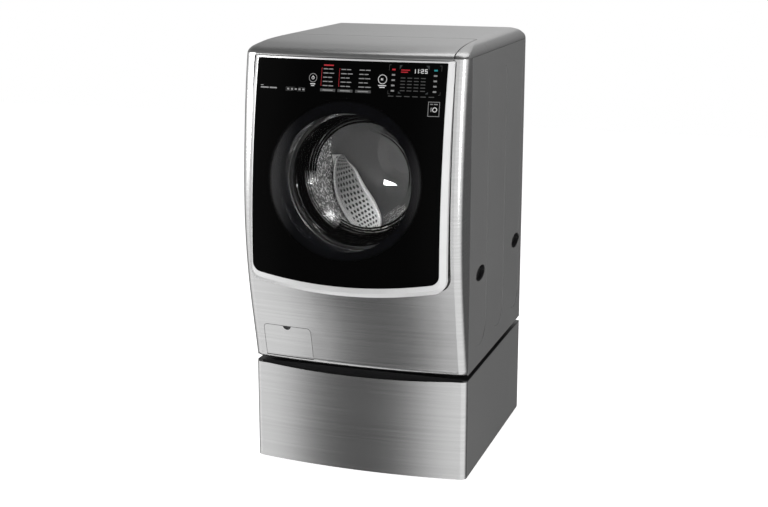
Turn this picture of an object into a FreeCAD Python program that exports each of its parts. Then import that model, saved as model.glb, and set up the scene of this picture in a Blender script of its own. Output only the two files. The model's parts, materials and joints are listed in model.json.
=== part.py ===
import FreeCAD, Part
import math
import os

# Front-load washing machine standing on its drawer pedestal.
# Millimetres. +Z is up, the front faces -Y, the origin is on the floor under the middle of the machine.

V = FreeCAD.Vector
os.makedirs("parts", exist_ok=True)

# ---- overall size ----
WIDTH = 700.0
DEPTH = 856.0
HEIGHT = 1355.0
HALF = WIDTH / 2
REAR = DEPTH / 2
FRONT = -DEPTH / 2
SHEET = 2.0              # folded steel sheet of cabinet and pedestal
SEAM = 1.0               # gap left between neighbouring outer panels
SEAM_Y = FRONT + 165.0   # where the side panels end and the front begins

# ---- pedestal ----
PLINTH_Z = 8.0           # underside of the pedestal sheet metal
PEDESTAL_H = 330.0
DRAWER_FACE = FRONT + 120.0
DRAWER_PLAN_R = 2116.0
DRAWER_CORNER = 20.0
DRAWER_TRAVEL = 440.0
DRAWER_HALF = 296.0      # half width of the storage box
RAIL_Z0 = 110.0
RAIL_Z1 = 156.0
LIP_DIP = 8.0            # how far the drawer's top edge sags in the middle

# ---- washer body ----
BASE_Z = 346.0           # underside of the washer body
RIM_Z = 1318.0           # where the side panels end and the rounded top begins
TOP_RISE = HEIGHT - RIM_Z
TOP_HALF = 294.0         # half width of the flat part of the top
HINGE_Y = FRONT + 361.0  # rear line of the dispenser lid, where the flat top begins
REAR_ROUND = 28.0
PLAN_R = 2290.0          # how much the front bows in plan
CORNER = 28.0            # rounding of the front vertical corners
LID_FRONT = FRONT + 91.0  # middle of the front edge at rim height
# height and reach of the middle of the steel front
FRONT_LINE = [(366.0, FRONT + 116.0), (500.0, FRONT + 85.0), (640.0, FRONT + 57.0), (860.0, FRONT + 41.0),
              (1060.0, FRONT + 53.0), (1203.0, FRONT + 70.0), (RIM_Z, LID_FRONT)]

# ---- door ----
DOOR_HALF = 313.0
DOOR_TOP = 1312.0
DOOR_LOW = 608.0         # lowest point, in the middle of the bowed bottom edge
DOOR_CORNER_Z = 640.0
GLASS_HALF = 296.0
GLASS_TOP = 1307.0
GLASS_LOW = 640.0
GLASS_CORNER_Z = 668.0
DOOR_BOW = 2400.0        # radius of the ball the door's face is cut from
DOOR_MID_Z = 706.0
GLASS_T = 4.0
FRAME_DEPTH = 34.0
BEVEL = 15.0
POCKET_FLOOR = FRONT + 128.0    # face of the recess that the door closes into
DOOR_BACK = POCKET_FLOOR - 6.0
POCKET_GAP = 3.5
DOOR_PIVOT_X = -306.0
DOOR_PIVOT_Y = FRONT + 47.0
KNUCKLES = [(690.0, 722.0), (846.0, 878.0)]
HINGE_PIN_R = 3.0

# ---- drum and tub ----
AXIS_Z = 940.0
MOUTH_R = 228.0          # hole in the recess floor
DRUM_R = 285.0
DRUM_Y0 = FRONT + 220.0
DRUM_Y1 = REAR - 193.0
DRUM_MOUTH_R = 215.0
BOWL_R = 202.0           # mouth of the glass bowl
TUB_R = 300.0
TUB_T = 5.0
TUB_Y0 = DRUM_Y0 - 20.0
TUB_Y1 = DRUM_Y1 + 27.0
TUB_SPLIT = 10.0
SHAFT_R = 12.5
RUN_FIT = 0.05           # radial clearance of pins and shafts
BEARING_R = 26.0
BULKHEAD_Y = SEAM_Y + 1.0
BULKHEAD_TOP = 1215.0

# ---- drain pump ----
PUMP_X = -225.0
PUMP_Z = 408.0
PUMP_R = 40.0
FILTER_R = 24.0
KNOB_R = 30.0

# ---- rear services ----
BACK_SHEET_Y = REAR - 14.0
INLET_R = 13.2
INLET_LEN = 14.0
DRAIN_R = 11.0
DRAIN_LEN = 24.0
TRANSIT_X = 440.0
TRANSIT_Z = 300.0
TRANSIT_R = 9.0


def box(x0, x1, y0, y1, z0, z1):
    return Part.makeBox(x1 - x0, y1 - y0, z1 - z0, V(x0, y0, z0))


def cyl_y(x, z, r, y0, y1):
    return Part.makeCylinder(r, y1 - y0, V(x, y0, z), V(0, 1, 0))


def cyl_z(x, y, r, z0, z1):
    return Part.makeCylinder(r, z1 - z0, V(x, y, z0), V(0, 0, 1))


def cyl_x(y, z, r, x0, x1):
    return Part.makeCylinder(r, x1 - x0, V(x0, y, z), V(1, 0, 0))


def ring_y(x, z, r0, r1, y0, y1):
    return cyl_y(x, z, r1, y0, y1).cut(cyl_y(x, z, r0, y0 - 1, y1 + 1))


def ring_z(x, y, r0, r1, z0, z1):
    return cyl_z(x, y, r1, z0, z1).cut(cyl_z(x, y, r0, z0 - 1, z1 + 1))


def fuse(shapes):
    first = shapes[0]
    if len(shapes) > 1:
        first = first.multiFuse(shapes[1:])
    return first.removeSplitter()


def group(shapes):
    return Part.makeCompound(shapes)


def mirror(shape):
    return shape.mirror(V(0, 0, 0), V(1, 0, 0))


def pair(shape):
    return [shape, mirror(shape)]


def turned(shape, degrees, centre, axis):
    copy = shape.copy()
    copy.rotate(centre, axis, degrees)
    return copy


def spin(shape, degrees):
    return turned(shape, degrees, V(0, 0, AXIS_Z), V(0, 1, 0))


def lathe(points):
    # a closed outline of (radius, y) pairs turned about the drum axis
    corners = [V(r, y, AXIS_Z) for r, y in points]
    face = Part.Face(Part.makePolygon(corners + [corners[0]]))
    return face.revolve(V(0, 0, AXIS_Z), V(0, 1, 0), 360)


def rounded_rect(x0, x1, z0, z1, r, y0, y1):
    # a plate standing in the XZ plane with four rounded corners
    plate = box(x0, x1, y0, y1, z0, z1)
    upright = [e for e in plate.Edges if abs(e.Length - (y1 - y0)) < 1e-6
               and abs(e.tangentAt(e.FirstParameter).y) > 0.9]
    return plate.makeFillet(r, upright)


save_names = []


def save(name, shape):
    shape.exportStep("parts/" + name + ".step")
    save_names.append(name)
    print(name, "solids", len(shape.Solids), "valid", shape.isValid(),
          "volume cm3", round(shape.Volume / 1000.0, 1))


# ---------------------------------------------------------------- plan sections and bodies


def plan_wire(z, half, face, corner, rear, plan_r):
    # outline seen from above: bowed front, two rounded front corners, straight sides and back
    middle = V(0, face + plan_r, z)
    cx = half - corner
    cy = middle.y - math.sqrt((plan_r - corner) ** 2 - cx ** 2)
    edges = []
    ends = []
    for side in (1, -1):
        centre = V(side * cx, cy, z)
        out = (centre - middle).normalize()
        touch = middle + out * plan_r
        flank = V(side * half, cy, z)
        bend = (out + V(side, 0, 0)).normalize()
        edges.append(Part.Arc(touch, centre + bend * corner, flank).toShape())
        ends.append((touch, flank))
    (touch_r, flank_r), (touch_l, flank_l) = ends
    front = Part.Arc(touch_l, V(0, face, z), touch_r).toShape()
    right_rear = V(half, rear, z)
    left_rear = V(-half, rear, z)
    return Part.Wire([front, edges[0], Part.makeLine(flank_r, right_rear),
                      Part.makeLine(right_rear, left_rear), Part.makeLine(left_rear, flank_l), edges[1]])


def top_solid(inset, proud):
    # the rounded top, with its front edge as far proud as asked
    upper = []
    for step in range(7):
        a = math.radians(15.0 * step)
        half = TOP_HALF + (HALF - TOP_HALF - inset) * math.cos(a)
        face = HINGE_Y + (LID_FRONT - proud - HINGE_Y + inset) * math.cos(a)
        rear = REAR - REAR_ROUND + (REAR_ROUND - inset) * math.cos(a)
        z = RIM_Z + (TOP_RISE - inset) * math.sin(a)
        upper.append(plan_wire(z, half, face, CORNER - inset + 20.0 * math.sin(a), rear, PLAN_R))
    return Part.makeLoft(upper, True, False)


def body_solid(inset):
    # the outside of the washer body, or the same shape a little smaller
    lower = []
    for degrees in (0, 30, 60, 90):
        a = math.radians(degrees)
        z = BASE_Z + inset + (FRONT_LINE[0][0] - BASE_Z - inset) * (1 - math.cos(a))
        if degrees == 90:
            z = FRONT_LINE[0][0]
        face = FRONT_LINE[0][1] + inset + (20.0 - inset) * (1 - math.sin(a))
        lower.append(plan_wire(z, HALF - inset, face, CORNER - inset, REAR - inset, PLAN_R))
    middle = []
    for z, face in FRONT_LINE:
        middle.append(plan_wire(z, HALF - inset, face + inset, CORNER - inset, REAR - inset, PLAN_R))
    return [Part.makeLoft(lower, True, False), Part.makeLoft(middle, True, False), top_solid(inset, 0.0)]


def skin(inset_out, inset_in, which):
    outer = body_solid(inset_out)[which]
    inner = body_solid(inset_in)[which]
    return outer.cut(inner)


def face_at(z, x):
    # reach of the steel front at a height and a distance from the middle
    for (z0, y0), (z1, y1) in zip(FRONT_LINE, FRONT_LINE[1:]):
        if z0 <= z <= z1:
            y = y0 + (y1 - y0) * (z - z0) / (z1 - z0)
            return y + PLAN_R - math.sqrt(PLAN_R ** 2 - x ** 2)
    return FRONT_LINE[0][1]


# ---------------------------------------------------------------- pedestal

FOOT_X = 300.0
FOOT_YS = [SEAM_Y + 43.0, REAR - 43.0]


def foot(x, y, z_floor, z_sheet, radius, stud_top):
    pad = cyl_z(x, y, radius, z_floor, z_sheet - 3.0)
    neck = cyl_z(x, y, radius * 0.6, z_sheet - 3.0, z_sheet)
    stud = cyl_z(x, y, 6.0, z_sheet, stud_top)
    return fuse([pad, neck, stud])


STUD_HOLE = 6.5
walls = [box(s * HALF if s < 0 else HALF - SHEET, s * HALF + SHEET if s < 0 else HALF,
             SEAM_Y, REAR, PLINTH_Z, PEDESTAL_H - 3.0) for s in (-1, 1)]
back_wall = box(-HALF + SHEET, HALF - SHEET, REAR - SHEET, REAR, PLINTH_Z, PEDESTAL_H - 3.0)
floor_plate = box(-HALF + SHEET, HALF - SHEET, SEAM_Y, REAR - SHEET, PLINTH_Z, PLINTH_Z + SHEET)
front_flanges = pair(box(HALF - 16.0, HALF - SHEET, SEAM_Y, SEAM_Y + SHEET, PLINTH_Z + SHEET, PEDESTAL_H - 3.0))
cabinet = fuse(walls + [back_wall, floor_plate] + front_flanges)
for notch in pair(box(HALF - 17.0, HALF - SHEET, SEAM_Y - 1, SEAM_Y + 3, RAIL_Z0 - 3.0, RAIL_Z1 + 3.0)):
    cabinet = cabinet.cut(notch)
for fy in FOOT_YS:
    for fx in (-FOOT_X, FOOT_X):
        cabinet = cabinet.cut(cyl_z(fx, fy, STUD_HOLE, PLINTH_Z - 5, PLINTH_Z + 5))
save("pedestal_cabinet", cabinet)
save("pedestal_feet", group([foot(fx, fy, 0.0, PLINTH_Z, 20.0, PLINTH_Z + 22.0)
                             for fx in (-FOOT_X, FOOT_X) for fy in FOOT_YS]))

WASHER_FOOT_X = 285.0
WASHER_FOOT_YS = [SEAM_Y + 48.0, REAR - 48.0]
deck = box(-HALF, HALF, SEAM_Y, REAR, PEDESTAL_H - 3.0, PEDESTAL_H)
deck_skirt = box(-HALF + 20.0, HALF - 20.0, SEAM_Y, SEAM_Y + SHEET, PEDESTAL_H - 28.0, PEDESTAL_H - 3.0)
stiffeners = [box(-HALF + 20.0, HALF - 20.0, y, y + SHEET, PEDESTAL_H - 28.0, PEDESTAL_H - 3.0) for y in (0.0, 250.0)]
save("pedestal_deck", fuse([deck, deck_skirt] + stiffeners))


def drawer_section(z, inset):
    return plan_wire(z, HALF - inset, DRAWER_FACE + inset, DRAWER_CORNER - inset, SEAM_Y + 40.0, DRAWER_PLAN_R)


def drawer_block(inset, z0, z1):
    return Part.Face(drawer_section(z0, inset)).extrude(V(0, 0, z1 - z0))


DRAWER_Z0 = PLINTH_Z
DRAWER_Z1 = PEDESTAL_H - 3.0
DRAWER_BACK = SEAM_Y - 1.5
dip_r = (300.0 ** 2 + LIP_DIP ** 2) / (2 * LIP_DIP)
dip = cyl_y(0.0, DRAWER_Z1 - LIP_DIP + dip_r, dip_r, FRONT, SEAM_Y + 60.0)
ahead = box(-HALF - 5, HALF + 5, FRONT, DRAWER_BACK, 0.0, PEDESTAL_H + 5)
face_block = drawer_block(0.0, DRAWER_Z0, DRAWER_Z1).common(ahead)
hollow = drawer_block(SHEET, DRAWER_Z0 + SHEET, DRAWER_Z1 + 5.0)
save("drawer_front", face_block.cut(hollow).cut(dip))

TROUGH_HALF = 190.0
TROUGH_Z = DRAWER_Z1 - 44.0
liner = drawer_block(SHEET, DRAWER_Z0 + SHEET, DRAWER_Z1 - 12.0).common(ahead)
hull_cut = drawer_block(SHEET + 4.0, DRAWER_Z0 + SHEET + 4.0, DRAWER_Z1 - 16.0)
hull_cut = hull_cut.common(box(-HALF, HALF, FRONT, DRAWER_BACK - 4.0, 0.0, PEDESTAL_H))
trough_wall = box(-TROUGH_HALF - 4, TROUGH_HALF + 4, DRAWER_FACE + SHEET + 14.0, DRAWER_BACK, TROUGH_Z - 4, DRAWER_Z1 - 12.0)
trough = box(-TROUGH_HALF, TROUGH_HALF, DRAWER_FACE, DRAWER_BACK - 4.0, TROUGH_Z, DRAWER_Z1)
liner = liner.cut(hull_cut).fuse(trough_wall.common(drawer_block(SHEET, 0.0, PEDESTAL_H)))
liner = liner.cut(trough.common(drawer_block(SHEET + 10.0, 0.0, PEDESTAL_H)))
save("drawer_front_liner", liner)

BOX_Z0 = 40.0
BOX_Z1 = 250.0
BOX_Y1 = REAR - 128.0
tray = box(-DRAWER_HALF, DRAWER_HALF, DRAWER_BACK, BOX_Y1, BOX_Z0, BOX_Z1)
tray = tray.cut(box(-DRAWER_HALF + SHEET, DRAWER_HALF - SHEET, DRAWER_BACK + SHEET, BOX_Y1 - SHEET,
                    BOX_Z0 + SHEET, BOX_Z1 + 5))
save("drawer_box", tray)

RAIL_GAP = 1.0
RAIL_Y0 = SEAM_Y + 8.0
RAIL_Y1 = BOX_Y1 + 40.0
RAIL_X1 = HALF - SHEET
rail = box(RAIL_X1 - 18.0, RAIL_X1, RAIL_Y0, RAIL_Y1, RAIL_Z0, RAIL_Z1)
rail = rail.cut(box(RAIL_X1 - 20.0, RAIL_X1 - 3.0, RAIL_Y0 - 1, RAIL_Y1 + 1, RAIL_Z0 + 3.0, RAIL_Z1 - 3.0))
rail = rail.fuse(box(RAIL_X1 - 18.0, RAIL_X1 - 15.0, RAIL_Y0, RAIL_Y1, RAIL_Z0, RAIL_Z0 + 10.0))
rail = rail.fuse(box(RAIL_X1 - 18.0, RAIL_X1 - 15.0, RAIL_Y0, RAIL_Y1, RAIL_Z1 - 10.0, RAIL_Z1))
save("drawer_slide_rails", group(pair(rail)))
runner_web = box(DRAWER_HALF, RAIL_X1 - 12.0, RAIL_Y0, BOX_Y1, RAIL_Z0 + 14.0, RAIL_Z1 - 14.0)
runner_head = box(RAIL_X1 - 15.0 + RAIL_GAP, RAIL_X1 - 3.0 - RAIL_GAP, RAIL_Y0, BOX_Y1,
                  RAIL_Z0 + 3.0 + RAIL_GAP, RAIL_Z1 - 3.0 - RAIL_GAP)
save("drawer_slide_runners", group(pair(fuse([runner_web, runner_head]))))

# ---------------------------------------------------------------- washer cabinet

RIB_DEPTH = 1.5
RIB_WIDTH = 150.0
RIB_PITCH = 225.0
RIB_FIRST = SEAM_Y + 62.0
RIB_TOP = 1256.0
RIB_LOW = 405.0
SIDE_TOP = RIM_Z - SEAM / 2
GRIP_Z = 638.0
GRIPS = [SEAM_Y + 140.0, REAR - 81.0]
GRIP_LONG = 55.0
GRIP_HIGH = 24.0


def rib_outline(y0, y1, x0, x1, grow):
    # a pressed panel with a flat top, small top corners and a round bottom
    slab = box(x0, x1, y0 - grow, y1 + grow, RIB_LOW - grow, RIB_TOP + grow)
    across = [e for e in slab.Edges if abs(abs(e.tangentAt(e.FirstParameter).x) - 1) < 1e-6]
    low = [e for e in across if e.CenterOfMass.z < 800]
    high = [e for e in across if e.CenterOfMass.z > 800]
    slab = slab.makeFillet((y1 - y0) / 2 + grow - 1.0, low)
    across = [e for e in slab.Edges if e.CenterOfMass.z > RIB_TOP + grow - 1
              and abs(abs(e.tangentAt(e.FirstParameter).x) - 1) < 1e-6]
    return slab.makeFillet(22.0, across)


def oval(y, z, long, high, x0, x1):
    ring = Part.Ellipse(V(0, 0, 0), long, high)
    face = Part.Face(Part.Wire(ring.toShape()))
    face.rotate(V(0, 0, 0), V(1, 0, 0), 90)
    face.rotate(V(0, 0, 0), V(0, 0, 1), 90)
    face.translate(V(x0, y, z))
    return face.extrude(V(x1 - x0, 0, 0))


side = box(HALF - SHEET, HALF, SEAM_Y, REAR, BASE_Z, SIDE_TOP)
for i in range(3):
    y0 = RIB_FIRST + i * RIB_PITCH
    y1 = min(y0 + RIB_WIDTH, REAR - 30.0)
    side = side.cut(rib_outline(y0, y1, HALF - SHEET - 1, HALF + 1, 0.0))
    side = side.fuse(rib_outline(y0, y1, HALF - SHEET - RIB_DEPTH, HALF - RIB_DEPTH, 1.2))
for gy in GRIPS:
    side = side.cut(oval(gy, GRIP_Z, GRIP_LONG, GRIP_HIGH, HALF - 12.0, HALF + 2.0))
side = side.fuse(box(HALF - 22.0, HALF - SHEET, REAR - SHEET, REAR, BASE_Z, SIDE_TOP))
side = side.fuse(box(HALF - 22.0, HALF - SHEET, SEAM_Y, SEAM_Y + SHEET, BASE_Z + 12.0, SIDE_TOP - 20.0))
save("cabinet_side_right", side)
save("cabinet_side_left", mirror(side))


def grip_cup(y):
    inner_x = HALF - SHEET - RIB_DEPTH
    cup = oval(y, GRIP_Z, GRIP_LONG + 4, GRIP_HIGH + 4, inner_x - 16.0, inner_x)
    return cup.cut(oval(y, GRIP_Z, GRIP_LONG - 0.5, GRIP_HIGH - 0.5, inner_x - 14.0, inner_x + 1.0))


cups = [grip_cup(gy) for gy in GRIPS]
save("grip_cups", group(cups + [mirror(c) for c in cups]))

ACCESS_R = 165.0
back = box(-HALF + 22.0, HALF - 22.0, BACK_SHEET_Y, BACK_SHEET_Y + SHEET, BASE_Z, RIM_Z)
back = back.fuse(fuse(pair(box(HALF - 22.0, HALF - 20.0, BACK_SHEET_Y, REAR - SHEET, BASE_Z, RIM_Z))))
back = back.cut(cyl_y(0, AXIS_Z, ACCESS_R - 12.0, BACK_SHEET_Y - 1, BACK_SHEET_Y + 5))
INLET_XS = [-250.0, -200.0]
INLET_Z = 1230.0
DRAIN_X = -262.0
DRAIN_Z = 520.0
POWER_X = 250.0
POWER_Z = 1225.0
CORD_R = 5.0
for sx in (-1, 1):
    for sz in (-1, 1):
        back = back.cut(cyl_y(sx * TRANSIT_X / 2, AXIS_Z - 100.0 + sz * TRANSIT_Z / 2, TRANSIT_R,
                              BACK_SHEET_Y - 1, BACK_SHEET_Y + 5))
for ix in INLET_XS:
    back = back.cut(cyl_y(ix, INLET_Z, INLET_R + 9.0, BACK_SHEET_Y - 1, BACK_SHEET_Y + 5))
back = back.cut(cyl_y(DRAIN_X, DRAIN_Z, DRAIN_R + 7.0, BACK_SHEET_Y - 1, BACK_SHEET_Y + 5))
back = back.cut(box(POWER_X - 16, POWER_X + 16, BACK_SHEET_Y - 1, BACK_SHEET_Y + 5, POWER_Z - 16, POWER_Z + 16))
save("cabinet_rear_panel", back)

cover = cyl_y(0, AXIS_Z, ACCESS_R, BACK_SHEET_Y + SHEET, BACK_SHEET_Y + SHEET + 6.0)
cover = cover.cut(cyl_y(0, AXIS_Z, ACCESS_R - 12.0, BACK_SHEET_Y, BACK_SHEET_Y + SHEET + 4.0))
cover = cover.cut(ring_y(0, AXIS_Z, 90.0, 110.0, BACK_SHEET_Y + SHEET + 5.0, REAR))
save("rear_access_cover", cover)

pan = box(-HALF + SHEET, HALF - SHEET, SEAM_Y + 4.0, BACK_SHEET_Y, BASE_Z, BASE_Z + 3.0)
pan_lips = [box(-HALF + SHEET, HALF - SHEET, SEAM_Y + 4.0, SEAM_Y + 7.0, BASE_Z + 3.0, BASE_Z + 40.0),
            box(-HALF + SHEET, HALF - SHEET, BACK_SHEET_Y - 3.0, BACK_SHEET_Y, BASE_Z + 3.0, BASE_Z + 40.0)]
pan = fuse([pan] + pan_lips)
pan = pan.cut(box(PUMP_X - PUMP_R - 4, PUMP_X + PUMP_R + 4, SEAM_Y, SEAM_Y + 12.0, BASE_Z + 3.0, BASE_Z + 45.0))
for fx in (-WASHER_FOOT_X, WASHER_FOOT_X):
    for fy in WASHER_FOOT_YS:
        pan = pan.cut(cyl_z(fx, fy, STUD_HOLE, BASE_Z - 1, BASE_Z + 5))
save("cabinet_base_pan", pan)
save("washer_feet", group([foot(fx, fy, PEDESTAL_H, BASE_Z, 24.0, BASE_Z + 22.0)
                           for fx in (-WASHER_FOOT_X, WASHER_FOOT_X) for fy in WASHER_FOOT_YS]))

# ---------------------------------------------------------------- door outlines


def door_outline(half, top, low, corner_z, top_r, low_r):
    # upright sides, straight top, bowed bottom, small top corners and wide bottom corners
    bow_r = (half ** 2 + (corner_z - low) ** 2) / (2 * (corner_z - low))
    centre = V(0, 0, low + bow_r)
    a, b = V(half, 0, top), V(-half, 0, top)
    c, d = V(-half, 0, corner_z), V(half, 0, corner_z)
    outline = Part.Face(Part.Wire([Part.makeLine(a, b), Part.makeLine(b, c),
                                   Part.Arc(c, V(0, 0, low), d).toShape(), Part.makeLine(d, a)]))
    block = outline.extrude(V(0, -200, 0))
    block.translate(V(0, POCKET_FLOOR + 10.0, 0))
    along = [e for e in block.Edges if abs(abs(e.tangentAt(e.FirstParameter).y) - 1) < 1e-6]
    low_edges = [e for e in along if e.CenterOfMass.z < 800]
    block = block.makeFillet(low_r, low_edges)
    if top_r == 0:
        return block
    along = [e for e in block.Edges if abs(abs(e.tangentAt(e.FirstParameter).y) - 1) < 1e-6
             and e.CenterOfMass.z > top - 1]
    return block.makeFillet(top_r, along)


def ball(depth):
    return Part.makeSphere(DOOR_BOW - depth, V(0, FRONT + DOOR_BOW, DOOR_MID_Z))


def grown_outline(grow):
    return door_outline(DOOR_HALF + grow, DOOR_TOP + grow, DOOR_LOW - grow, DOOR_CORNER_Z - grow,
                        6.0 + max(grow, -5.0), 42.0 + grow)


def glass_outline(grow):
    return door_outline(GLASS_HALF + grow, GLASS_TOP + grow, GLASS_LOW - grow, GLASS_CORNER_Z - grow,
                        4.0, 30.0 + grow)


# ---------------------------------------------------------------- steel front

SERVICE_X0 = -305.0
SERVICE_X1 = -142.0
SERVICE_Z0 = 362.0
SERVICE_Z1 = 467.0
SERVICE_GAP = 1.4
SERVICE_SWING_GAP = 3.2
SERVICE_T = 3.0
SERVICE_LOWER = 20.0


def service_block(grow, y1):
    block = rounded_rect(SERVICE_X0 - grow, SERVICE_X1 + grow, SERVICE_Z0 - grow, SERVICE_Z1 + grow,
                         13.0 + grow, FRONT, y1)
    lower = box(SERVICE_X0 - grow, SERVICE_X1 + grow, FRONT, y1, SERVICE_Z0 - grow, SERVICE_Z0 + SERVICE_LOWER)
    return block.fuse(lower)


# the door's bottom edge swings in under its hinge, so the opening is deeper there
def service_opening(grow, y1):
    below = box(SERVICE_X0 - grow, SERVICE_X1 + grow, FRONT, y1, SERVICE_Z0 - SERVICE_SWING_GAP, SERVICE_Z0 + 2.0)
    return service_block(grow, y1).fuse(below)


forward = box(-HALF - 5, HALF + 5, FRONT - 10, SEAM_Y, BASE_Z - 5, RIM_Z - SEAM / 2)
front = fuse([skin(0.0, SHEET, 0).common(forward), skin(0.0, SHEET, 1).common(forward)])
pocket_block = grown_outline(POCKET_GAP)
pocket_walls = grown_outline(POCKET_GAP + 1.5)
inside = body_solid(0.0)[1]
walls = pocket_walls.cut(pocket_block).common(inside)
walls = walls.common(box(-HALF, HALF, FRONT, POCKET_FLOOR + SHEET, BASE_Z, RIM_Z - SEAM))
pocket_floor = grown_outline(POCKET_GAP + 1.5)
pocket_floor.translate(V(0, 100.0, 0))
pocket_floor = pocket_floor.common(box(-HALF, HALF, POCKET_FLOOR, POCKET_FLOOR + SHEET, BASE_Z, RIM_Z - SEAM))
front = front.cut(pocket_block)
front = front.fuse(walls).fuse(pocket_floor)
front = front.cut(cyl_y(0, AXIS_Z, MOUTH_R, POCKET_FLOOR - 5, POCKET_FLOOR + 10))
LATCH_X = 252.0
LATCH_Z = 850.0
front = front.cut(box(LATCH_X - 12, LATCH_X + 12, POCKET_FLOOR - 5, POCKET_FLOOR + 5, LATCH_Z - 22, LATCH_Z + 22))
front = front.cut(service_opening(SERVICE_GAP, SEAM_Y - 10.0))

# ---------------------------------------------------------------- service door, its frame, pump and filter

HINGE_IN = 3.0
SERVICE_PIN_R = 2.0

service_a = V(SERVICE_X0, face_at(366.0, SERVICE_X0) + HINGE_IN, SERVICE_Z0 + HINGE_IN)
service_b = V(SERVICE_X1, face_at(366.0, SERVICE_X1) + HINGE_IN, SERVICE_Z0 + HINGE_IN)
service_dir = V(service_b.x - service_a.x, service_b.y - service_a.y, 0).normalize()
service_len = (service_b - service_a).Length
print("service door hinge", [round(c, 2) for c in service_a], [round(c, 5) for c in service_dir])


def service_rod(radius, start, end):
    return Part.makeCylinder(radius, end - start, service_a + service_dir * start, service_dir)


body_0 = body_solid(0.0)[0].fuse(body_solid(0.0)[1])
body_2 = body_solid(SHEET)[0].fuse(body_solid(SHEET)[1])
body_3 = body_solid(SERVICE_T)[0].fuse(body_solid(SERVICE_T)[1])
body_4 = body_solid(SERVICE_T + 0.6)[0].fuse(body_solid(SERVICE_T + 0.6)[1])
panel = body_0.cut(body_3).common(service_block(0.0, SEAM_Y - 10.0))
notch = cyl_y((SERVICE_X0 + SERVICE_X1) / 2, SERVICE_Z1 + 2.0, 14.0, FRONT, SEAM_Y)
panel = panel.cut(notch)
panel = panel.fuse(service_rod(3.0, 6.0, service_len - 6.0))
panel = panel.fuse(service_rod(SERVICE_PIN_R, -5.0, service_len + 5.0))
save("service_door", panel)

frame_outer = box(SERVICE_X0 - 12, SERVICE_X1 + 12, FRONT, BULKHEAD_Y,
                  SERVICE_Z0 - SERVICE_SWING_GAP - 2.6, SERVICE_Z1 + 12)
opening = service_opening(SERVICE_GAP, BULKHEAD_Y + 5)
duct = frame_outer.common(body_2).cut(opening)
ledge = service_block(SERVICE_GAP + 1.0, BULKHEAD_Y).common(body_4).common(frame_outer)
ledge = ledge.cut(rounded_rect(SERVICE_X0 + 5, SERVICE_X1 - 5, SERVICE_Z0 - 2, SERVICE_Z1 - 18, 8.0, FRONT, SEAM_Y))
ledge = ledge.cut(box(SERVICE_X0 - 1, SERVICE_X1 + 1, FRONT, SEAM_Y + 5, SERVICE_Z0 - 5, SERVICE_Z0 + 9.0))
ledge = ledge.cut(box(-HALF, HALF, BULKHEAD_Y - 16.0, SEAM_Y + 5, BASE_Z, SERVICE_Z1 + 50))
collar = duct.fuse(ledge)
collar = collar.cut(service_rod(SERVICE_PIN_R + RUN_FIT, -6.0, service_len + 6.0))
collar = collar.cut(service_rod(4.5, 3.0, service_len - 3.0))
save("service_frame", collar)

pump = cyl_y(PUMP_X, PUMP_Z, PUMP_R, BULKHEAD_Y + 4.0, BULKHEAD_Y + 110.0)
pump = pump.fuse(cyl_y(PUMP_X, PUMP_Z, 28.0, BULKHEAD_Y + 110.0, BULKHEAD_Y + 150.0))
stub = cyl_z(PUMP_X, BULKHEAD_Y + 60.0, 20.0, PUMP_Z + 20.0, PUMP_Z + 64.0)
pump = pump.fuse(stub)
pump = pump.fuse(box(PUMP_X - 30, PUMP_X + 30, BULKHEAD_Y + 20.0, BULKHEAD_Y + 90.0, BASE_Z + 3.0, PUMP_Z - 20.0))
pump = pump.cut(cyl_y(PUMP_X, PUMP_Z, FILTER_R + 0.4, BULKHEAD_Y, BULKHEAD_Y + 90.0))
pump = pump.cut(cyl_z(PUMP_X, BULKHEAD_Y + 60.0, 16.0, PUMP_Z, PUMP_Z + 70.0))
save("drain_pump", pump)

knob = cyl_y(PUMP_X, PUMP_Z, KNOB_R, BULKHEAD_Y - 12.0, BULKHEAD_Y + 3.5)
knob = knob.fuse(box(PUMP_X - 24, PUMP_X + 24, BULKHEAD_Y - 26.0, BULKHEAD_Y - 12.0, PUMP_Z - 4, PUMP_Z + 4))
strainer = cyl_y(PUMP_X, PUMP_Z, FILTER_R, BULKHEAD_Y + 3.5, BULKHEAD_Y + 84.0)
strainer = strainer.cut(cyl_y(PUMP_X, PUMP_Z, FILTER_R - 3.0, BULKHEAD_Y + 8.0, BULKHEAD_Y + 90.0))
strainer = strainer.cut(box(PUMP_X - 12, PUMP_X + 12, BULKHEAD_Y + 20.0, BULKHEAD_Y + 90.0, PUMP_Z, PUMP_Z + 40))
save("pump_filter", fuse([knob, strainer]))

# ---------------------------------------------------------------- inner frame of the cabinet

bulkhead = box(-HALF + SHEET, HALF - SHEET, SEAM_Y + SHEET, SEAM_Y + 2 * SHEET, BASE_Z + 42.0, BULKHEAD_TOP)
bulkhead = bulkhead.cut(cyl_y(0, AXIS_Z, MOUTH_R + 36.0, SEAM_Y, SEAM_Y + 10))
bulkhead = bulkhead.cut(cyl_y(PUMP_X, PUMP_Z, PUMP_R + 1.0, SEAM_Y, SEAM_Y + 10))
save("front_bulkhead", bulkhead)

BRACE_Y = 20.0
BRACE_Z = 1290.0
brace = box(-HALF + SHEET, HALF - SHEET, BRACE_Y - 20.0, BRACE_Y + 20.0, BRACE_Z, BRACE_Z + 22.0)
brace = brace.cut(box(-HALF + 12.0, HALF - 12.0, BRACE_Y - 18.0, BRACE_Y + 18.0, BRACE_Z + 2.0, BRACE_Z + 25.0))
save("top_cross_brace", brace)

# ---------------------------------------------------------------- top cover, lid and dispenser

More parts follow.
